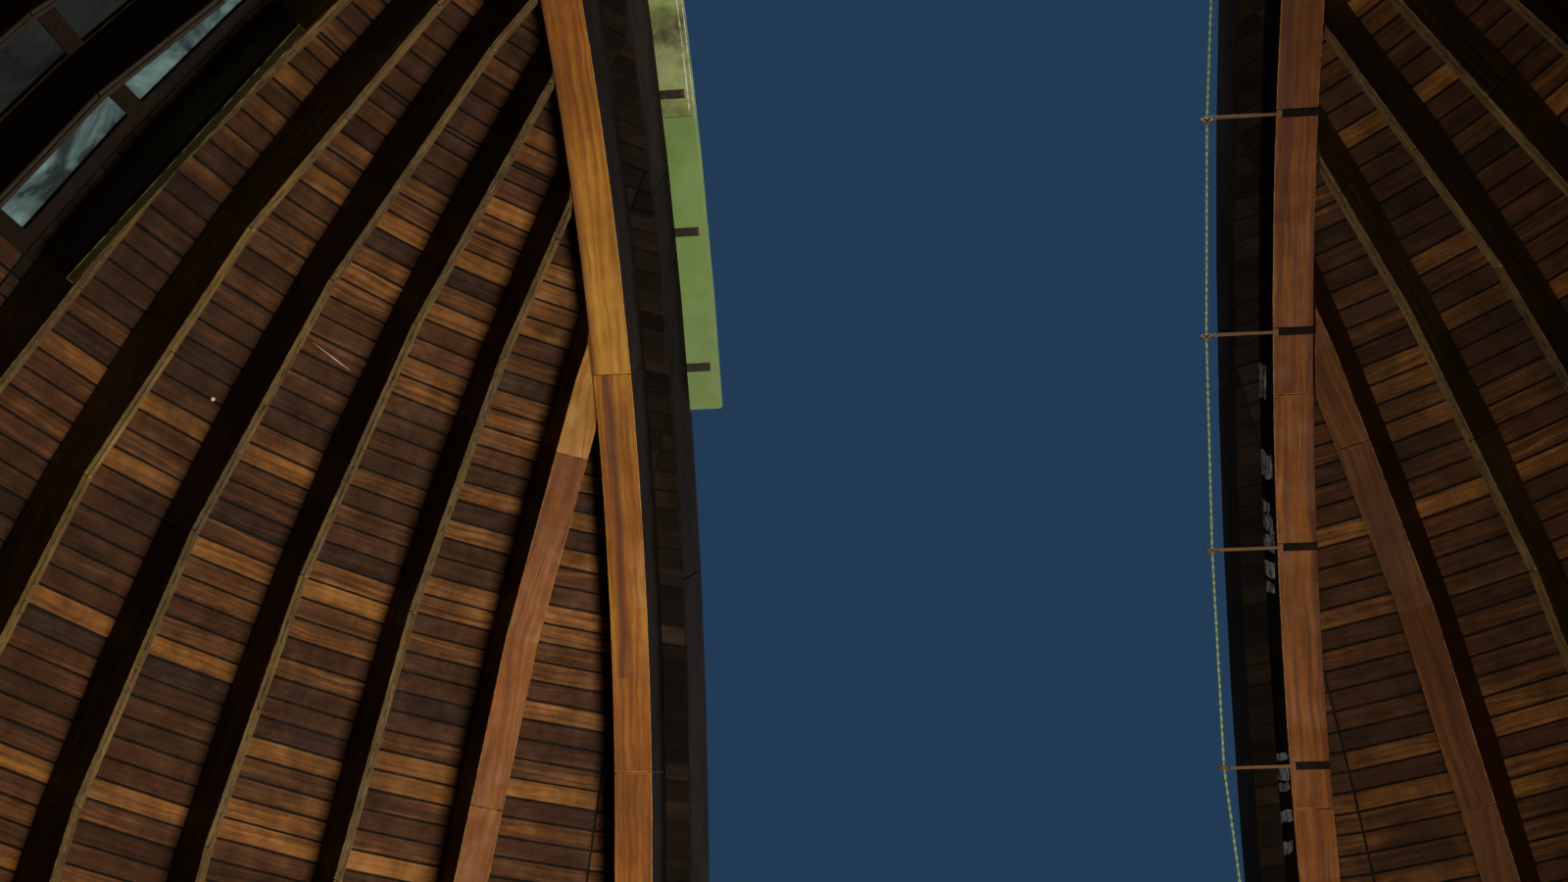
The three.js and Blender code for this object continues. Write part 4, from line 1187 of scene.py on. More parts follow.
def alongStops(stops, value):
    for (x0, y0), (x1, y1) in zip(stops, stops[1:]):
        if x0 <= value <= x1:
            return y0 + (y1 - y0) * (value - x0) / (x1 - x0)
    return stops[0][1] if value < stops[0][0] else stops[-1][1]


def driftAlong(bm, stops, angleAt):
    driftLayer = bm.verts.layers.float["toneDrift"]
    for vert in bm.verts:
        vert[driftLayer] = alongStops(stops, angleAt(vert.co - domeCentre))


def stainArch(bm, node):
    # the faces towards the slit are black with damp
    if node == "slit_arch_left":
        driftAlong(bm, arches["toneAlong"], slitAngle)
    streakLayer = bm.faces.layers.float["streak"]
    for face in bm.faces:
        angle = slitAngle(fromCentre(face))
        for start, end, place in arches["streaks"][node]:
            if start < angle < end:
                face[streakLayer] = place
        face.normal_update()
        if abs(face.normal.x) > facing:
            face.material_index = sootAndShadeSlot


heavyRibs = {
    "bevel": 0.004,
    "segments": 2,
    "azimuths": {"front_rib_left": -30, "front_rib_right": 30},
    # painted shade: the sides, which the light does not reach, and a share of it on the faces, most on the
    # right rib
    "sideShade": 0.6,
    "faceShade": {"front_rib_left": 0.12, "front_rib_right": 0.4},
    "joints": {"front_rib_left": [None, 20.4, 40.9, None], "front_rib_right": [None, 19.0, 39.5, None]},
    "tones": {"front_rib_left": [0.36, 0.30, 0.90], "front_rib_right": [0.16, 0.04, 0.10]},
    # change of tone along each rib, darker at the left rib's foot and just below its upper joint
    "toneAlong": {
        "front_rib_left": [(0, -0.16), (14, -0.08), (30, 0.0), (36, -0.10), (40.895, -0.24), (40.905, 0.0),
                           (60, 0.0)],
        "front_rib_right": [(0, 0.0), (60, 0.0)],
    },
}


def makeHeavyRib(node, azimuth, draw):
    along, out = levelAxes(azimuth)
    cuts = sweepCuts(heavyRibs["joints"][node], azimuth)
    place = sweepPlace(azimuth, radius=4.2, lean=0.93)
    bm = planksFrom(node, cuts, heavyRibs, place, draw, heavyRibs["tones"][node])
    driftAlong(bm, heavyRibs["toneAlong"][node], lambda flat: math.degrees(math.atan2(flat.z, flat.dot(out))))
    # painted shade on the sides and faces
    sootAndShadeLayer = bm.faces.layers.float["sootAndShade"]
    for face in bm.faces:
        face.normal_update()
        onSide = abs(face.normal.dot(along)) > facing
        face[sootAndShadeLayer] = heavyRibs["sideShade"] if onSide else heavyRibs["faceShade"][node]
    makePiece(node + "_planks", bm, [archTimber], "dome", [node])


draw = random.Random(23)
for node, joints in arches["joints"].items():
    bm = planksFrom(node, sweepCuts(joints), arches, archPlace, draw, arches["tones"][node])
    stainArch(bm, node)
    makePiece(node + "_planks", bm, [archTimber, sootAndShadeTimber], "dome", [node])
for node, azimuth in heavyRibs["azimuths"].items():
    makeHeavyRib(node, azimuth, draw)


# Painted light on the right arch, on the side towards the slit: pale patches where light falls on its pale
# strip, made as flakes of paint

litPatch = {
    "thickness": 0.0012,
    "clear": 0.0002,
    "ragged": (0.175, 0.07),    # share of the height and of the width
    # a patch's corners, as shares of its height and width
    "outline": [(0, 0), (0, 0.33), (0, 0.66), (0, 1), (0.5, 1.04), (1, 1), (1, 0.66), (1, 0.33), (1, 0),
                (0.5, -0.05)],
    # from and to which angle, inner and outer radius
    "patches": [
        (41.3, 42.6, 3.93, 4.23), (39.1, 39.7, 4.02, 4.24), (38.0, 39.0, 3.93, 4.26),
        (36.85, 37.95, 3.94, 4.26), (35.4, 36.4, 3.95, 4.22), (34.5, 35.1, 3.97, 4.20),
        (45.8, 47.6, 4.04, 4.20), (24.9, 25.3, 3.87, 4.22), (23.8, 24.5, 3.90, 4.24),
        (23.1, 23.6, 3.92, 4.22), (21.4, 22.0, 3.90, 4.20), (19.6, 20.3, 3.96, 4.20),
    ],
}


def makeLitPatches(draw):
    bm = newBmesh()
    for low, high, inner, outer in litPatch["patches"]:
        corners = []
        for along, across in litPatch["outline"]:
            angle = low + (high - low) * (along + draw.uniform(-1, 1) * litPatch["ragged"][0])
            radius = inner + (outer - inner) * (across + draw.uniform(-1, 1) * litPatch["ragged"][1])
            corners.append(planePoint(dome["archInnerX"] + litPatch["clear"], angle, radius))
        addPlank(bm, corners, Vector((-litPatch["thickness"], 0, 0)), 0, middleTone, archPlace)
    makePiece("lit_patches", bm, [paintedLightPatch], "dome")


makeLitPatches(draw)
print("arches and heavy ribs made")


# Curbs, head and sill of the slit

curbs = {
    "bevel": 0.004,
    # angles over the front horizon
    "curbJoints": {
        "slit_curb_left": [None, 18.0, 36.3, 58.8, 81.3, None],
        "slit_curb_right": [None, 14.0, 32.5, 55.0, 77.5, 100.0, None],
    },
    # places along x
    "beamJoints": {
        "head_beam": [None, None],
        "head_curb": [None, 0.31, None],
        "slit_sill": [None, -0.22, None],
    },
}
for node, joints in curbs["curbJoints"].items():
    bm = planksFrom(node, sweepCuts(joints), curbs, archPlace, draw)
    makePiece(node + "_planks", bm, [sootAndShadeTimber], "dome", [node])
for node, joints in curbs["beamJoints"].items():
    bm = planksFrom(node, beamCuts(joints), curbs, beamPlace, draw)
    makePiece(node + "_planks", bm, [darkTimber], "dome", [node])


# Skylight: a thin sash with four clouded panes, and the stile beside its rib

skylight = {
    "sash": {"bevel": 0.0025, "tone": 0.45, "place": uprightPlace, "shift": (3, 5)},
    "stile": {"bevel": 0.003, "segments": 2, "place": uprightPlace, "shift": (1, 2)},
}
roundedPiece("skylight_sash", "skylight_frame", skylight["sash"], [darkTimber], "dome")
roundedPiece("skylight_post", "skylight_stile", skylight["stile"], [stilePaint], "dome")
cadNodes["skylight_glass"].data.materials[0] = cloudyGlass
print("curbs and skylight made")


# Leaves: painted sheet over a curved board, with rolled edges and riveted laps

leaves = {
    "bevel": 0.0035,
    "grainRadius": 4.7,
    "slitEdge": 0.0045,         # how far back the edge beside the slit is painted black as shade
    "outward": 0.5,             # a face whose normal has this share outwards is on the weather side
    "seamAngle": 61.3,          # where the left leaf's two sheets meet
    "halfSeam": 0.0003,
    "seamEdge": 0.15,           # degrees of bare edge at the seam
    "sheetTop": 4.7848,
    "stileInset": 0.064,
    "upperStraps": [62.55, 77.55, 92.55],
    "lowerStraps": [17.55, 32.55],
    "lapWidth": 0.050,
    "lapThickness": 0.0025,
    "lapBevel": 0.001,
    # side is how far out on the lap, as a share of half its width
    "rivet": {"radius": 0.007, "height": 0.004, "pitch": 0.10, "side": 0.6},
    "firstCorner": 43.8,        # angle of the lowest corner between two flats
    "corners": 9,
    "head": 110.6,
    "bead": {"x": -1.066, "width": 0.007, "low": 4.7408, "high": 4.7452, "start": 0.3, "bevel": 0.0015},
}


def leafPlace(co):
    flat = co - domeCentre
    return math.atan2(flat.z, flat.y) * leaves["grainRadius"], co.x


def makeLeaf(node, body, joints, strapAngles, draw):
    # the weather side is dull, the edges beside the slit are painted black as shade, and only the underside
    # of the left leaf's upper sheet has kept its old glossy coat, with painted highlights
    low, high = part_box(node)
    slitEdge = min(abs(low.x), abs(high.x)) + leaves["slitEdge"]
    finishes = [leafPaint, leafGlossAndHighlight, leafWeathered, sootAndShadeTimber]
    labels = ["_panel"] if len(joints) == 2 else ["_lower", "_upper"]
    for index, label in enumerate(labels):
        cuts = sweepCuts(joints[index:index + 2], half=leaves["halfSeam"])
        bm = planksFrom(node, cuts, leaves, leafPlace, draw, [middleTone])
        edgeLayer = bm.faces.layers.float["edge"]
        for face in bm.faces:
            spot = fromCentre(face)
            face.normal_update()
            finish = leafGlossAndHighlight if label == "_upper" else leafPaint
            if face.normal.dot(Vector((0, spot.y, spot.z)).normalized()) >= leaves["outward"]:
                finish = leafWeathered
            # painted shade: the edges beside the slit are black
            if node != "leaf_left" and abs(spot.x) < slitEdge:
                finish = sootAndShadeTimber
            face.material_index = finishes.index(finish)
            if label == "_upper" and slitAngle(spot) < joints[1] + leaves["seamEdge"]:
                face[edgeLayer] = 0.0
        makePiece(node + label, bm, finishes, body, () if label == "_upper" else [node])
    makeStraps(node, body, low.x + leaves["stileInset"], high.x - leaves["stileInset"], strapAngles)


def makeStraps(node, body, left, right, angles):
    # cover strips over the joints of the sheets, on the weather side, with a row of rivets down each edge
    bm = newBmesh()
    rivet = leaves["rivet"]
    count = round((right - left) / rivet["pitch"])
    for angle in angles:
        t = math.radians(angle)
        out, along = Vector((0, math.cos(t), math.sin(t))), Vector((0, -math.sin(t), math.cos(t)))
        half, rise = along * (leaves["lapWidth"] / 2), out * leaves["lapThickness"]
        foot = planePoint(left, angle, leaves["sheetTop"])
        outline = [foot - half, foot + half, foot + half + rise, foot - half + rise]
        addPlank(bm, outline, Vector((right - left, 0, 0)), leaves["lapBevel"], middleTone, leafPlace)
        for k in range(count):
            x = (right - left) * (k + 0.5) / count
            for side in (-rivet["side"], rivet["side"]):
                spot = foot + half * side + rise + Vector((x, 0, 0))
                addStud(bm, spot - out * sunk, out, rivet["radius"], rivet["height"])
    makePiece(node + "_straps", bm, [leafWeathered], body)


def flatRadius(angle, flat):
    # how far from the centre line a point on one of a leaf's flats lies, if the flat's middle lies at flat
    first, bay = leaves["firstCorner"], dome["bay"]
    middle = first + (math.floor((angle - first) / bay + nearly) + 0.5) * bay
    return flat / math.cos(math.radians(angle - middle))


def makeBead():
    # a rolled edge on the underside of the left leaf's upper sheet, near the slit
    bead = leaves["bead"]
    bm = newBmesh()
    left = bead["x"] - bead["width"] / 2
    start = leaves["seamAngle"] + bead["start"]
    corners = [leaves["firstCorner"] + dome["bay"] * k for k in range(leaves["corners"])] + [leaves["head"]]
    corners = [start] + [c for c in corners if c > start]
    for low, high in zip(corners, corners[1:]):
        ends = ((low, bead["low"]), (high, bead["low"]), (high, bead["high"]), (low, bead["high"]))
        points = [planePoint(left, angle, flatRadius(angle, flat)) for angle, flat in ends]
        addPlank(bm, points, Vector((bead["width"], 0, 0)), bead["bevel"], middleTone, leafPlace)
    # every face takes the pale edge colour, a painted highlight along the rolled edge
    markFaces(bm, "edge", bm.faces, 1.0)
    makePiece("leaf_left_bead", bm, [leafGlossAndHighlight], "left_leaf")


makeBead()
makeLeaf("leaf_left", "left_leaf", [None, leaves["seamAngle"], None], leaves["upperStraps"], draw)
makeLeaf("leaf_right", "right_leaf", [None, None], leaves["upperStraps"], draw)
makeLeaf("lower_leaf_left", "dome", [None, None], leaves["lowerStraps"], draw)
makeLeaf("lower_leaf_right", "dome", [None, None], leaves["lowerStraps"], draw)


# Ironwork: slide bars, runways, rail, cleat and rods

ironwork = {
    "sharp": 30.0,
    "slides": {"leaf_left": "left_leaf", "leaf_right": "right_leaf", "lower_leaf_left": "dome",
               "lower_leaf_right": "dome"},
    "slideBevel": 0.002,
    # the other pieces' bevels
    "fixed": {"runway_left": 0.004, "runway_right": 0.004, "ring_rail": 0.003, "rope_cleat": 0.003},
    "rodBevel": 0.0012,
    "rodShaded": (0.0215, 0.022),        # inside the arch's face, beyond which the rods are painted black as shade
}


def ironPiece(node, bevel, material, body):
    look = {"bevel": bevel, "sharp": ironwork["sharp"]}
    roundedPiece(node + "_iron", node, look, [material], body)


def makeRod(node):
    bm = solidCopy(node)
    roundEdges(bm, ironwork["rodBevel"], sharp=ironwork["sharp"])
    paint(bm, middleTone, beamPlace)
    cut, beyond = [dome["archInnerX"] + depth for depth in ironwork["rodShaded"]]
    bmesh.ops.bisect_plane(bm, geom=wholeOf(bm), plane_co=(cut, 0, 0), plane_no=(1, 0, 0))
    # painted shade: the rods turn black where they cross the arch's face
    for face in bm.faces:
        if face.calc_center_median().x > beyond:
            face.material_index = sootAndShadeSlot
    makePiece(node + "_iron", bm, [oiledRod, sootAndShadeTimber], "dome", [node])


for leaf, body in ironwork["slides"].items():
    ironPiece(leaf + "_slides", ironwork["slideBevel"], blackIron, body)
for node, bevel in ironwork["fixed"].items():
    ironPiece(node, bevel, wornSteel if node == "ring_rail" else blackIron, "dome")
for number in range(1, 6):
    makeRod(f"rope_rod_{number}")


runwayBolts = {
    "firstAngle": 6.3,          # of the lowest beam
    "beams": (0, 4, 5, 8, 11, 13),      # those with bolts, counted from the lowest
    "face": 2.529,              # just inside the beams' ends
    "radii": (4.667, 4.707),
    "radius": 0.012,
    "height": 0.009,
}


def makeRunwayBolts(name, side):
    bm = newBmesh()
    for beam in runwayBolts["beams"]:
        for radius in runwayBolts["radii"]:
            angle = runwayBolts["firstAngle"] + dome["bay"] * beam
            spot = planePoint(side * runwayBolts["face"], angle, radius)
            addStud(bm, spot, Vector((side, 0, 0)), runwayBolts["radius"], runwayBolts["height"])
    makePiece(name, bm, [blackIron], "dome")


makeRunwayBolts("runway_bolts_left", -1)
makeRunwayBolts("runway_bolts_right", 1)
print("leaves and ironwork made")


# Rope: three strands laid together, taut from cleat to head beam

rope = {
    "radius": 0.0066,
    "lay": 0.068,               # length of one turn of the strands
    "step": 0.0125,
    "sides": 12,
    "strands": 3,
    "lobe": 0.16,               # how far the hollows between strands go in, as a share of the radius
    "grainStep": 0.004,
    "x": 1.018,
    "foot": (1.110, 3.970, 0.030),      # from the dome's centre
    "head": (109.085, 3.960),   # angle and radius
    "eyeRadius": 3.812,
    "rods": [24.5 + 12.9 * k for k in range(5)],        # angles
    "overlap": 0.001,           # from one stretch to the next
}


def ropeStretch(bm, start, end, turned):
    # extrudes a lobed section step by step, turning it as it goes, and gives the turn that it ends at
    along = end - start
    count = max(2, round(along.length / rope["step"]))
    verts = bmesh.ops.create_circle(bm, cap_ends=True, segments=rope["sides"], radius=rope["radius"])["verts"]
    for vert in verts:
        angle = math.atan2(vert.co.y, vert.co.x)
        vert.co *= 1.0 - rope["lobe"] * (1 - abs(math.cos(rope["strands"] / 2 * angle)))
    turn = along.to_track_quat("Z", "Y").to_matrix().to_4x4()
    matrix = Matrix.Translation(start) @ turn @ Matrix.Rotation(turned, 4, "Z")
    bmesh.ops.transform(bm, matrix=matrix, verts=verts)
    grain = bm.loops.layers.uv["grain"]
    face = next(f for f in verts[0].link_faces if len(f.verts) == rope["sides"])
    step = along / count
    twist = 2 * math.pi * step.length / rope["lay"]
    axis = along.normalized()
    for k in range(count):
        made = bmesh.ops.extrude_face_region(bm, geom=[face])
        newVerts = [g for g in made["geom"] if isinstance(g, bmesh.types.BMVert)]
        newFace = next(g for g in made["geom"] if isinstance(g, bmesh.types.BMFace))
        if k:
            bmesh.ops.delete(bm, geom=[face], context="FACES_ONLY")
        here = start + step * k
        matrix = Matrix.Translation(here + step) @ Matrix.Rotation(twist, 4, axis) @ Matrix.Translation(-here)
        bmesh.ops.transform(bm, matrix=matrix, verts=newVerts)
        for side in {f for v in newVerts for f in v.link_faces if f is not newFace}:
            for index, loop in enumerate(side.loops):
                loop[grain].uv = ((loop.vert.co - start).dot(axis), index * rope["grainStep"])
        face = newFace
    return turned + twist * count


def makeRope():
    bm = newBmesh()
    points = [domeCentre + Vector(rope["foot"])]
    points += [planePoint(rope["x"], angle, rope["eyeRadius"]) for angle in rope["rods"]]
    # the foot goes down to the top of the cleat
    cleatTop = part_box("rope_cleat")[1].z
    down = points[0] - points[1]
    points[0] += down * ((points[0].z - cleatTop) / -down.z)
    points.append(planePoint(rope["x"], *rope["head"]))
    turned = 0.0
    for start, end in zip(points, points[1:]):
        reach = (end - start).normalized() * rope["overlap"]
        turned = ropeStretch(bm, start - reach, end + reach, turned)
    makePiece("laid_rope", bm, [ropeFibre], "dome", ["leaf_rope"], 60)


makeRope()
print("rope made")


# Ring, wall plate and skirt

ringWork = {
    "bevel": 0.005,
    "joints": [7.5 + 30.0 * k for k in range(13)],      # azimuths
    "plate": {"bevel": 0.002, "sharp": 32.0, "tone": 0.4, "place": ringPlace},
    "skirt": {"bevel": 0.0015, "sharp": 40.0, "place": ringPlace},
}
bm = planksFrom("dome_ring", ringCuts(ringWork["joints"]), ringWork, ringPlace, draw)
makePiece("dome_ring_planks", bm, [ribTimber], "dome", ["dome_ring"])
for node in ("wall_plate_left", "wall_plate_right"):
    roundedPiece(node + "_works", node, ringWork["plate"], [darkTimber], "building")
roundedPiece("dome_skirt_sheet", "dome_skirt", ringWork["skirt"], [sheetPaint], "dome")

skirtLaps = {
    "flats": 48,
    "every": 2,
    "width": 0.050,
    "thickness": 0.002,
    "bevel": 0.0008,
    "margin": 0.006,
    "bolts": 4,
    "boltRadius": 0.008,
    "boltHeight": 0.005,
}


def makeSkirtLaps():
    # cover strips over the upright joints of the skirt, one to every second flat
    bm = newBmesh()
    low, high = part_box("dome_skirt")
    radius = high.x * math.cos(math.radians(dome["bay"] / 2)) - sunk
    rise = Vector((0, 0, high.z - low.z - 2 * skirtLaps["margin"]))
    for k in range(0, skirtLaps["flats"], skirtLaps["every"]):
        along, out = levelAxes((k + 0.5) * dome["bay"])
        foot = out * radius + Vector((0, 0, low.z + skirtLaps["margin"]))
        half, push = along * (skirtLaps["width"] / 2), out * (skirtLaps["thickness"] + sunk)
        outline = [foot - half, foot + half, foot + half + push, foot - half + push]
        addPlank(bm, outline, rise, skirtLaps["bevel"], middleTone, beamPlace)
        for index in range(skirtLaps["bolts"]):
            spot = foot + push + rise * (index + 0.5) / skirtLaps["bolts"]
            addStud(bm, spot - out * sunk, out, skirtLaps["boltRadius"], skirtLaps["boltHeight"])
    makePiece("skirt_laps", bm, [sheetPaint], "dome")


makeSkirtLaps()


# Drum: bricks in Flemish bond, bedded on the wall, which shows between them as mortar

brickwork = {
    "courses": 36,
    "courseHeight": 0.075,
    "bed": 0.004,               # height of the first bed
    "periods": 84,              # a stretcher and a header each
    "joint": 0.010,
    "stretcherShare": 2 / 3,
    "stretcherTone": 0.6,
    "headerTone": 0.42,
    "toneSpread": 0.2,
    "backRadius": 4.436,
    "faceRadius": 4.4535,
    "uneven": 0.0015,
    "chamfer": 0.004,
    "chamferWear": 0.8,
    "leastTurn": 0.0045,        # a narrower piece of brick is left out
    "doorHalf": 0.572,
    "doorTop": 2.170,
    "besideDoor": 0.006,
    "besideSoldiers": 0.12,
    "archCourse": 2.400,        # top of the soldier course over the doorway
    "courseSlack": 0.010,       # how far a brick may reach below that
    "headSlack": 0.015,         # and how far a course may reach over the door's top
}
soldiers = {"width": 0.065, "beyondDoor": 0.11, "bed": 0.006, "tone": (0.55, 0.15)}
quarters = ("wall_front_right", "wall_back_right", "wall_back_left", "wall_front_left")


def addBrick(bm, azimuthLow, azimuthHigh, bottom, top, tone, draw):
    # azimuths in radians
    face = brickwork["faceRadius"] + draw.uniform(-brickwork["uneven"], brickwork["uneven"])
    chamfer = brickwork["chamfer"]
    made = bmesh.ops.create_cube(bm, size=1.0)
    for vert in made["verts"]:
        azimuth = azimuthHigh if vert.co.x > 0 else azimuthLow
        radius = face - chamfer if vert.co.y > 0 else brickwork["backRadius"]
        height = top if vert.co.z > 0 else bottom
        vert.co = Vector((radius * math.sin(azimuth), radius * math.cos(azimuth), height))
    middle = (azimuthLow + azimuthHigh) / 2
    out = Vector((math.sin(middle), math.cos(middle), 0))
    faces = {f for v in made["verts"] for f in v.link_faces}
    markFaces(bm, "tone", faces, tone)
    front = max(faces, key=lambda f: f.calc_center_median().dot(out))
    front.normal_update()
    sign = 1 if front.normal.dot(out) > 0 else -1
    ring = bmesh.ops.inset_individual(bm, faces=[front], thickness=chamfer, depth=chamfer * sign,
                                      use_even_offset=False)
    markFaces(bm, "edge", ring["faces"], brickwork["chamferWear"])
    markFaces(bm, "tone", ring["faces"], tone)


def clipAtDoor(left, right, bottom):
    # keeps a brick out of the doorway and of the soldier course over it
    if bottom > brickwork["archCourse"] - brickwork["courseSlack"]:
        return [(left, right)]
    overDoor = bottom + brickwork["courseHeight"] - brickwork["headSlack"] > brickwork["doorTop"]
    beside = brickwork["besideSoldiers"] if overDoor else brickwork["besideDoor"]
    edge = math.asin((brickwork["doorHalf"] + beside) / brickwork["faceRadius"])
    low, high = math.pi - edge, math.pi + edge
    if right <= low or left >= high:
        return [(left, right)]
    return [(a, b) for a, b in ((left, low), (high, right)) if b - a > brickwork["leastTurn"]]


def makeBricks(node, start, end, draw):
    bm = newBmesh()
    period = 2 * math.pi / brickwork["periods"]
    joint = brickwork["joint"] / brickwork["faceRadius"]
    share = brickwork["stretcherShare"]
    bricks = ((0.0, share, brickwork["stretcherTone"]), (share, 1.0, brickwork["headerTone"]))
    for course in range(brickwork["courses"]):
        bottom = course * brickwork["courseHeight"] + brickwork["bed"]
        top = (course + 1) * brickwork["courseHeight"] - brickwork["joint"] + brickwork["bed"]
        offset = period / 2 if course % 2 else 0.0
        for k in range(-1, brickwork["periods"] + 1):
            for low, high, usual in bricks:
                left = max(offset + (k + low) * period + joint / 2, start)
                right = min(offset + (k + high) * period - joint / 2, end)
                if right - left < brickwork["leastTurn"]:
                    continue
                for a, b in clipAtDoor(left, right, bottom):
                    tone = clamp(draw.gauss(usual, brickwork["toneSpread"]), 0.0, 1.0)
                    addBrick(bm, a, b, bottom, top, tone, draw)
    makePiece("bricks_" + node[5:], bm, [firedBrick], "building")


def makeSoldiers(draw):
    # a course of bricks on end over the doorway
    bm = newBmesh()
    joint, radius = brickwork["joint"], brickwork["faceRadius"]
    reach = brickwork["doorHalf"] + soldiers["beyondDoor"]
    bottom, top = brickwork["doorTop"] + soldiers["bed"], brickwork["archCourse"] - soldiers["bed"]
    count = round(2 * reach / (soldiers["width"] + joint))
    pitch = 2 * reach / count
    for k in range(count):
        x0 = -reach + k * pitch + joint / 2
        x1 = x0 + pitch - joint
        tone = clamp(draw.gauss(*soldiers["tone"]), 0.0, 1.0)
        left, right = [math.pi - math.asin(x / radius) for x in (x1, x0)]
        addBrick(bm, left, right, bottom, top, tone, draw)
    makePiece("bricks_over_door", bm, [firedBrick], "building")


draw = random.Random(91)
for index, node in enumerate(quarters):
    makeBricks(node, index * math.pi / 2, (index + 1) * math.pi / 2, draw)
makeSoldiers(draw)
for node in quarters + ("wall_over_door",):
    cadNodes[node].data.materials[0] = wallLime
print("bricks laid")


# Door, frame and step

doorWork = {
    "boards": 6,
    "bevel": 0.003,
    "halfJoint": 0.0008,
    "frame": {"bevel": 0.003, "tone": 0.6, "place": uprightPlace, "shift": (4, 9)},
    "step": {"bevel": 0.014, "segments": 2},
}
roundedPiece("door_step_stone", "door_step", doorWork["step"], [stepStone], "building")
roundedPiece("door_frame_posts", "door_frame", doorWork["frame"], [darkTimber], "building")
doorLow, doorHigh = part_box("door")
width = (doorHigh.x - doorLow.x) / doorWork["boards"]
places = [None] + [doorLow.x + width * k for k in range(1, doorWork["boards"])] + [None]
bm = planksFrom("door", beamCuts(places, doorWork["halfJoint"]), doorWork, uprightPlace, draw)
makePiece("door_boards", bm, [doorTimber], "building", ["door"])

doorIron = {
    "bevel": 0.001,
    "strapHeights": (0.42, 1.14, 1.86),
    "strap": {"start": 0.004, "end": 0.62, "root": 0.050, "tip": 0.026, "point": 0.02, "thickness": 0.006,
              "bolts": (0.16, 0.40, 0.66, 0.92)},
    "knuckle": {"radius": 0.010, "height": 0.090, "clear": 0.002, "sides": 12},
    "plate": {"x": 0.405, "z": 1.16, "width": 0.055, "height": 0.20, "thickness": 0.004,
              "bolts": (-0.42, 0.42)},
    "boss": {"radius": 0.014, "height": 0.018, "sides": 10},
    "ring": {"radius": 0.045, "tube": 0.0065, "drop": 0.040, "out": 0.012, "sides": 24, "tubeSides": 8},
    "bolt": (0.009, 0.005),     # radius and height
}


def addRing(bm, centre, ring):
    # a small circle spun into a ring that hangs in the door's plane
    verts = bmesh.ops.create_circle(bm, segments=ring["tubeSides"], radius=ring["tube"])["verts"]
    bmesh.ops.translate(bm, verts=verts, vec=centre + Vector((ring["radius"], 0, 0)))
    edges = list(dict.fromkeys(e for v in verts for e in v.link_edges))
    bmesh.ops.spin(bm, geom=verts + edges, cent=centre, axis=(0, 1, 0), angle=2 * math.pi,
                   steps=ring["sides"], use_merge=True)


def makeDoorIron():
    bm = newBmesh()
    face = doorLow.y + sunk
    outwards = Vector((0, -1, 0))
    strap, knuckle = doorIron["strap"], doorIron["knuckle"]
    plate, boss, ring = doorIron["plate"], doorIron["boss"], doorIron["ring"]

    def layFlat(outline, thickness):
        points = [Vector((x, face, z)) for x, z in outline]
        addPlank(bm, points, outwards * thickness, doorIron["bevel"], middleTone, beamPlace)

    def addBolt(x, z, thickness):
        addStud(bm, Vector((x, face - thickness + sunk, z)), outwards, *doorIron["bolt"])

    x0, x1 = doorLow.x + strap["start"], doorLow.x + strap["end"]
    for z in doorIron["strapHeights"]:
        root, tip = strap["root"] / 2, strap["tip"] / 2
        layFlat([(x0, z - root), (x1, z - tip), (x1 + strap["point"], z), (x1, z + tip), (x0, z + root)],
                strap["thickness"])
        foot = Vector((doorLow.x + knuckle["radius"] + knuckle["clear"], face - knuckle["radius"],
                       z - knuckle["height"] / 2))
        addStud(bm, foot, Vector((0, 0, 1)), knuckle["radius"], knuckle["height"], knuckle["sides"])
        for share in strap["bolts"]:
            addBolt(x0 + (x1 - x0) * share, z, strap["thickness"])
    halfX, halfZ, front = plate["width"] / 2, plate["height"] / 2, face - plate["thickness"]
    corners = ((-1, -1), (1, -1), (1, 1), (-1, 1))
    layFlat([(plate["x"] + i * halfX, plate["z"] + j * halfZ) for i, j in corners], plate["thickness"])
    for share in plate["bolts"]:
        addBolt(plate["x"], plate["z"] + plate["height"] * share, plate["thickness"])
    hang = plate["z"] + ring["drop"]
    spot = Vector((plate["x"], front + sunk, hang))
    addStud(bm, spot, outwards, boss["radius"], boss["height"], boss["sides"])
    addRing(bm, Vector((plate["x"], front - ring["out"], hang - ring["radius"])), ring)
    makePiece("door_ironwork", bm, [blackIron], "building")


makeDoorIron()
print("door made")


# Floor, light and camera

studioFloor = {"sides": 128, "radius": 900, "height": -0.002, "patch": 1.5, "rough": 0.8}


def makeFloor():
    bm = bmesh.new()
    bmesh.ops.create_circle(bm, cap_ends=True, segments=studioFloor["sides"], radius=studioFloor["radius"])
    bmesh.ops.translate(bm, verts=bm.verts[:], vec=(0, 0, studioFloor["height"]))
    mesh = bpy.data.meshes.new("studioFloor")
    bm.to_mesh(mesh)
    bm.free()
    material, tree, spot = startMaterial("studioFloor")
    colour = mixColour(tree, noise(tree, spot, studioFloor["patch"]), *colours["floor"])
    sockets = {"Base Color": colour, "Roughness": studioFloor["rough"]}
    fill(tree, tree.nodes["Principled BSDF"].inputs, sockets)
    mesh.materials.append(material)
    floor = bpy.data.objects.new("studioFloor", mesh)
    scene.collection.objects.link(floor)


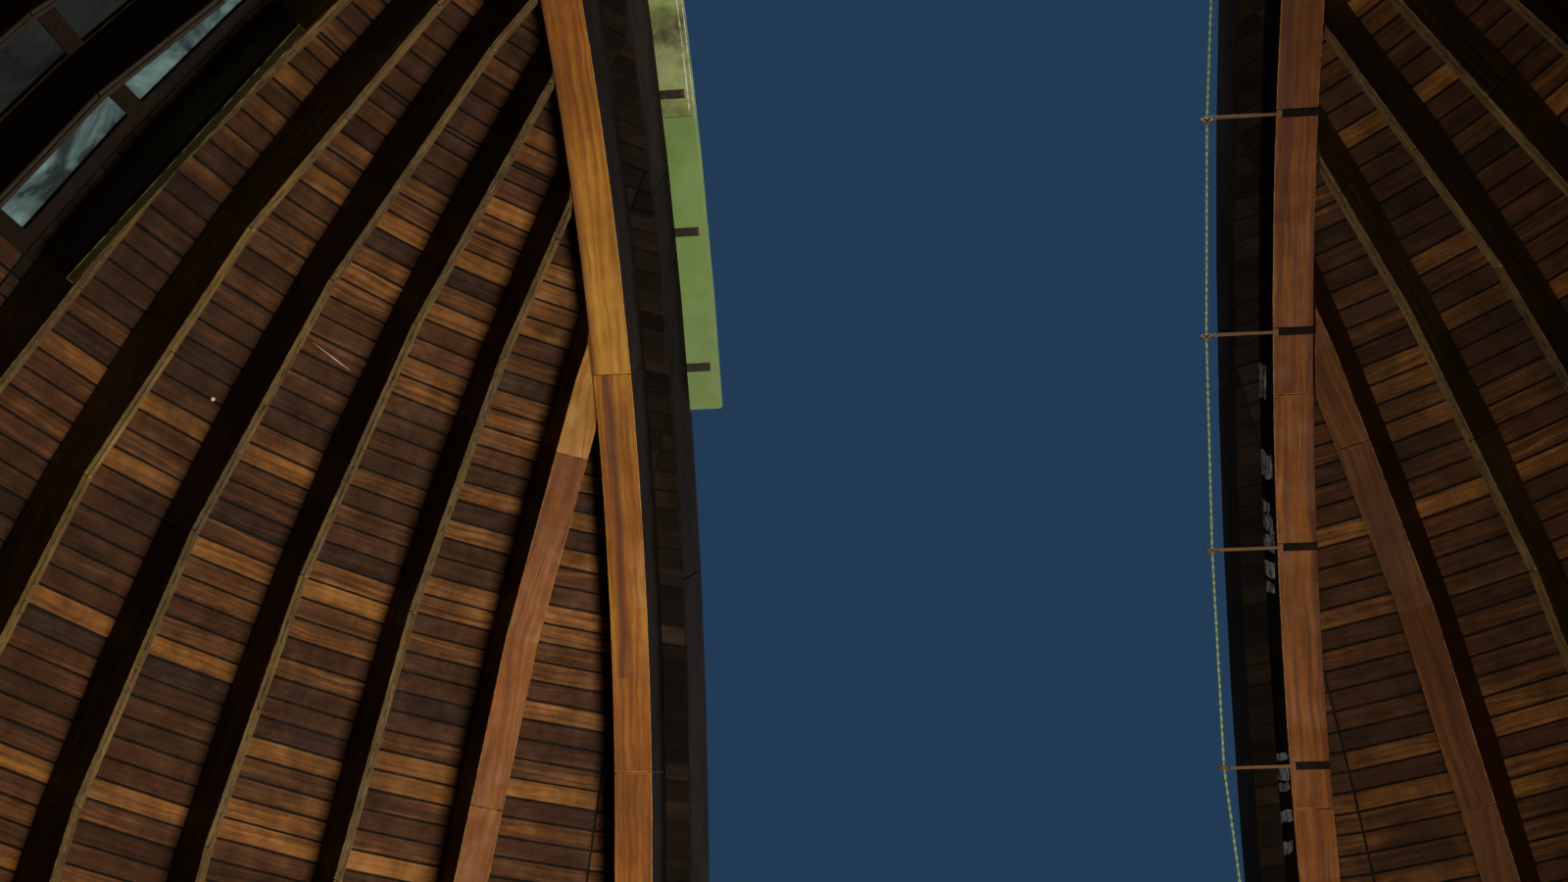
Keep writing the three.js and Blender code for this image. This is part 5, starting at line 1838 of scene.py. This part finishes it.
lights = {
    # kind, place, aimed at, size in metres or angle in degrees, watts or strength, colour
    "overhead": ("SUN", (0, 0, 20), (0, 0.5, 0), 18, 2.2, (1.0, 0.99, 0.97)),
    "keyRight": ("SUN", (13.0, -11.0, 8.5), (0, 0, 3.5), 22, 2.0, (1.0, 0.97, 0.93)),
    "fillLeft": ("SUN", (-15.0, -6.0, 7.5), (0, 0, 3.5), 28, 1.5, (0.92, 0.96, 1.0)),
    "front": ("SUN", (9.0, 14.0, 5.5), (0, 0, 3.0), 28, 1.2, (0.96, 0.98, 1.0)),
    "lamp": ("AREA", (0.9, -0.6, 1.8), (-2.5, 3.0, 4.9), 1.2, 212, (1.0, 0.88, 0.70)),
}
lampSpread = 134            # degrees
world = {"colour": (0.024, 0.046, 0.095), "strength": 1.0}


def makeLights():
    for name, (kind, place, target, size, power, colour) in lights.items():
        data = bpy.data.lights.new(name, kind)
        if kind == "SUN":
            data.angle = math.radians(size)
        else:
            data.shape = "DISK"
            data.size = size
            data.spread = math.radians(lampSpread)
        data.energy = power
        data.color = colour
        lamp = bpy.data.objects.new(name, data)
        lamp.location = place
        lamp.rotation_mode = "QUATERNION"
        lamp.rotation_quaternion = (Vector(target) - Vector(place)).to_track_quat("-Z", "Y")
        lamp.visible_camera = False
        scene.collection.objects.link(lamp)
    scene.world = scene.world or bpy.data.worlds.new("studio")
    scene.world.use_nodes = True
    tree = scene.world.node_tree
    sockets = {"Color": (*world["colour"], 1), "Strength": world["strength"]}
    fill(tree, tree.nodes["Background"].inputs, sockets)


viewpoint = {
    "place": (0.0986, -3.533, 1.555),
    "yaw": -0.1229,             # radians, as the next two
    "pitch": 0.6122,
    "roll": 0.0253,
    "lens": 43.45,
    "sensor": 36.0,
    "clip": (0.05, 200),
}


def makeCamera():
    yaw, pitch, roll = viewpoint["yaw"], viewpoint["pitch"], viewpoint["roll"]
    forward = Vector((math.sin(yaw) * math.cos(pitch), math.cos(yaw) * math.cos(pitch), math.sin(pitch)))
    level = Vector((math.cos(yaw), -math.sin(yaw), 0))
    up = level.cross(forward)
    right = math.cos(roll) * level + math.sin(roll) * up
    above = -math.sin(roll) * level + math.cos(roll) * up
    turn = Matrix((right, above, -forward)).transposed()
    data = bpy.data.cameras.new("viewpoint")
    data.sensor_width = viewpoint["sensor"]
    data.sensor_fit = "HORIZONTAL"
    data.lens = viewpoint["lens"]
    data.clip_start, data.clip_end = viewpoint["clip"]
    camera = bpy.data.objects.new("viewpoint", data)
    camera.matrix_world = Matrix.Translation(viewpoint["place"]) @ turn.to_4x4()
    scene.collection.objects.link(camera)
    scene.camera = camera


makeFloor()
makeLights()
makeCamera()
print("floor, lights and camera set")
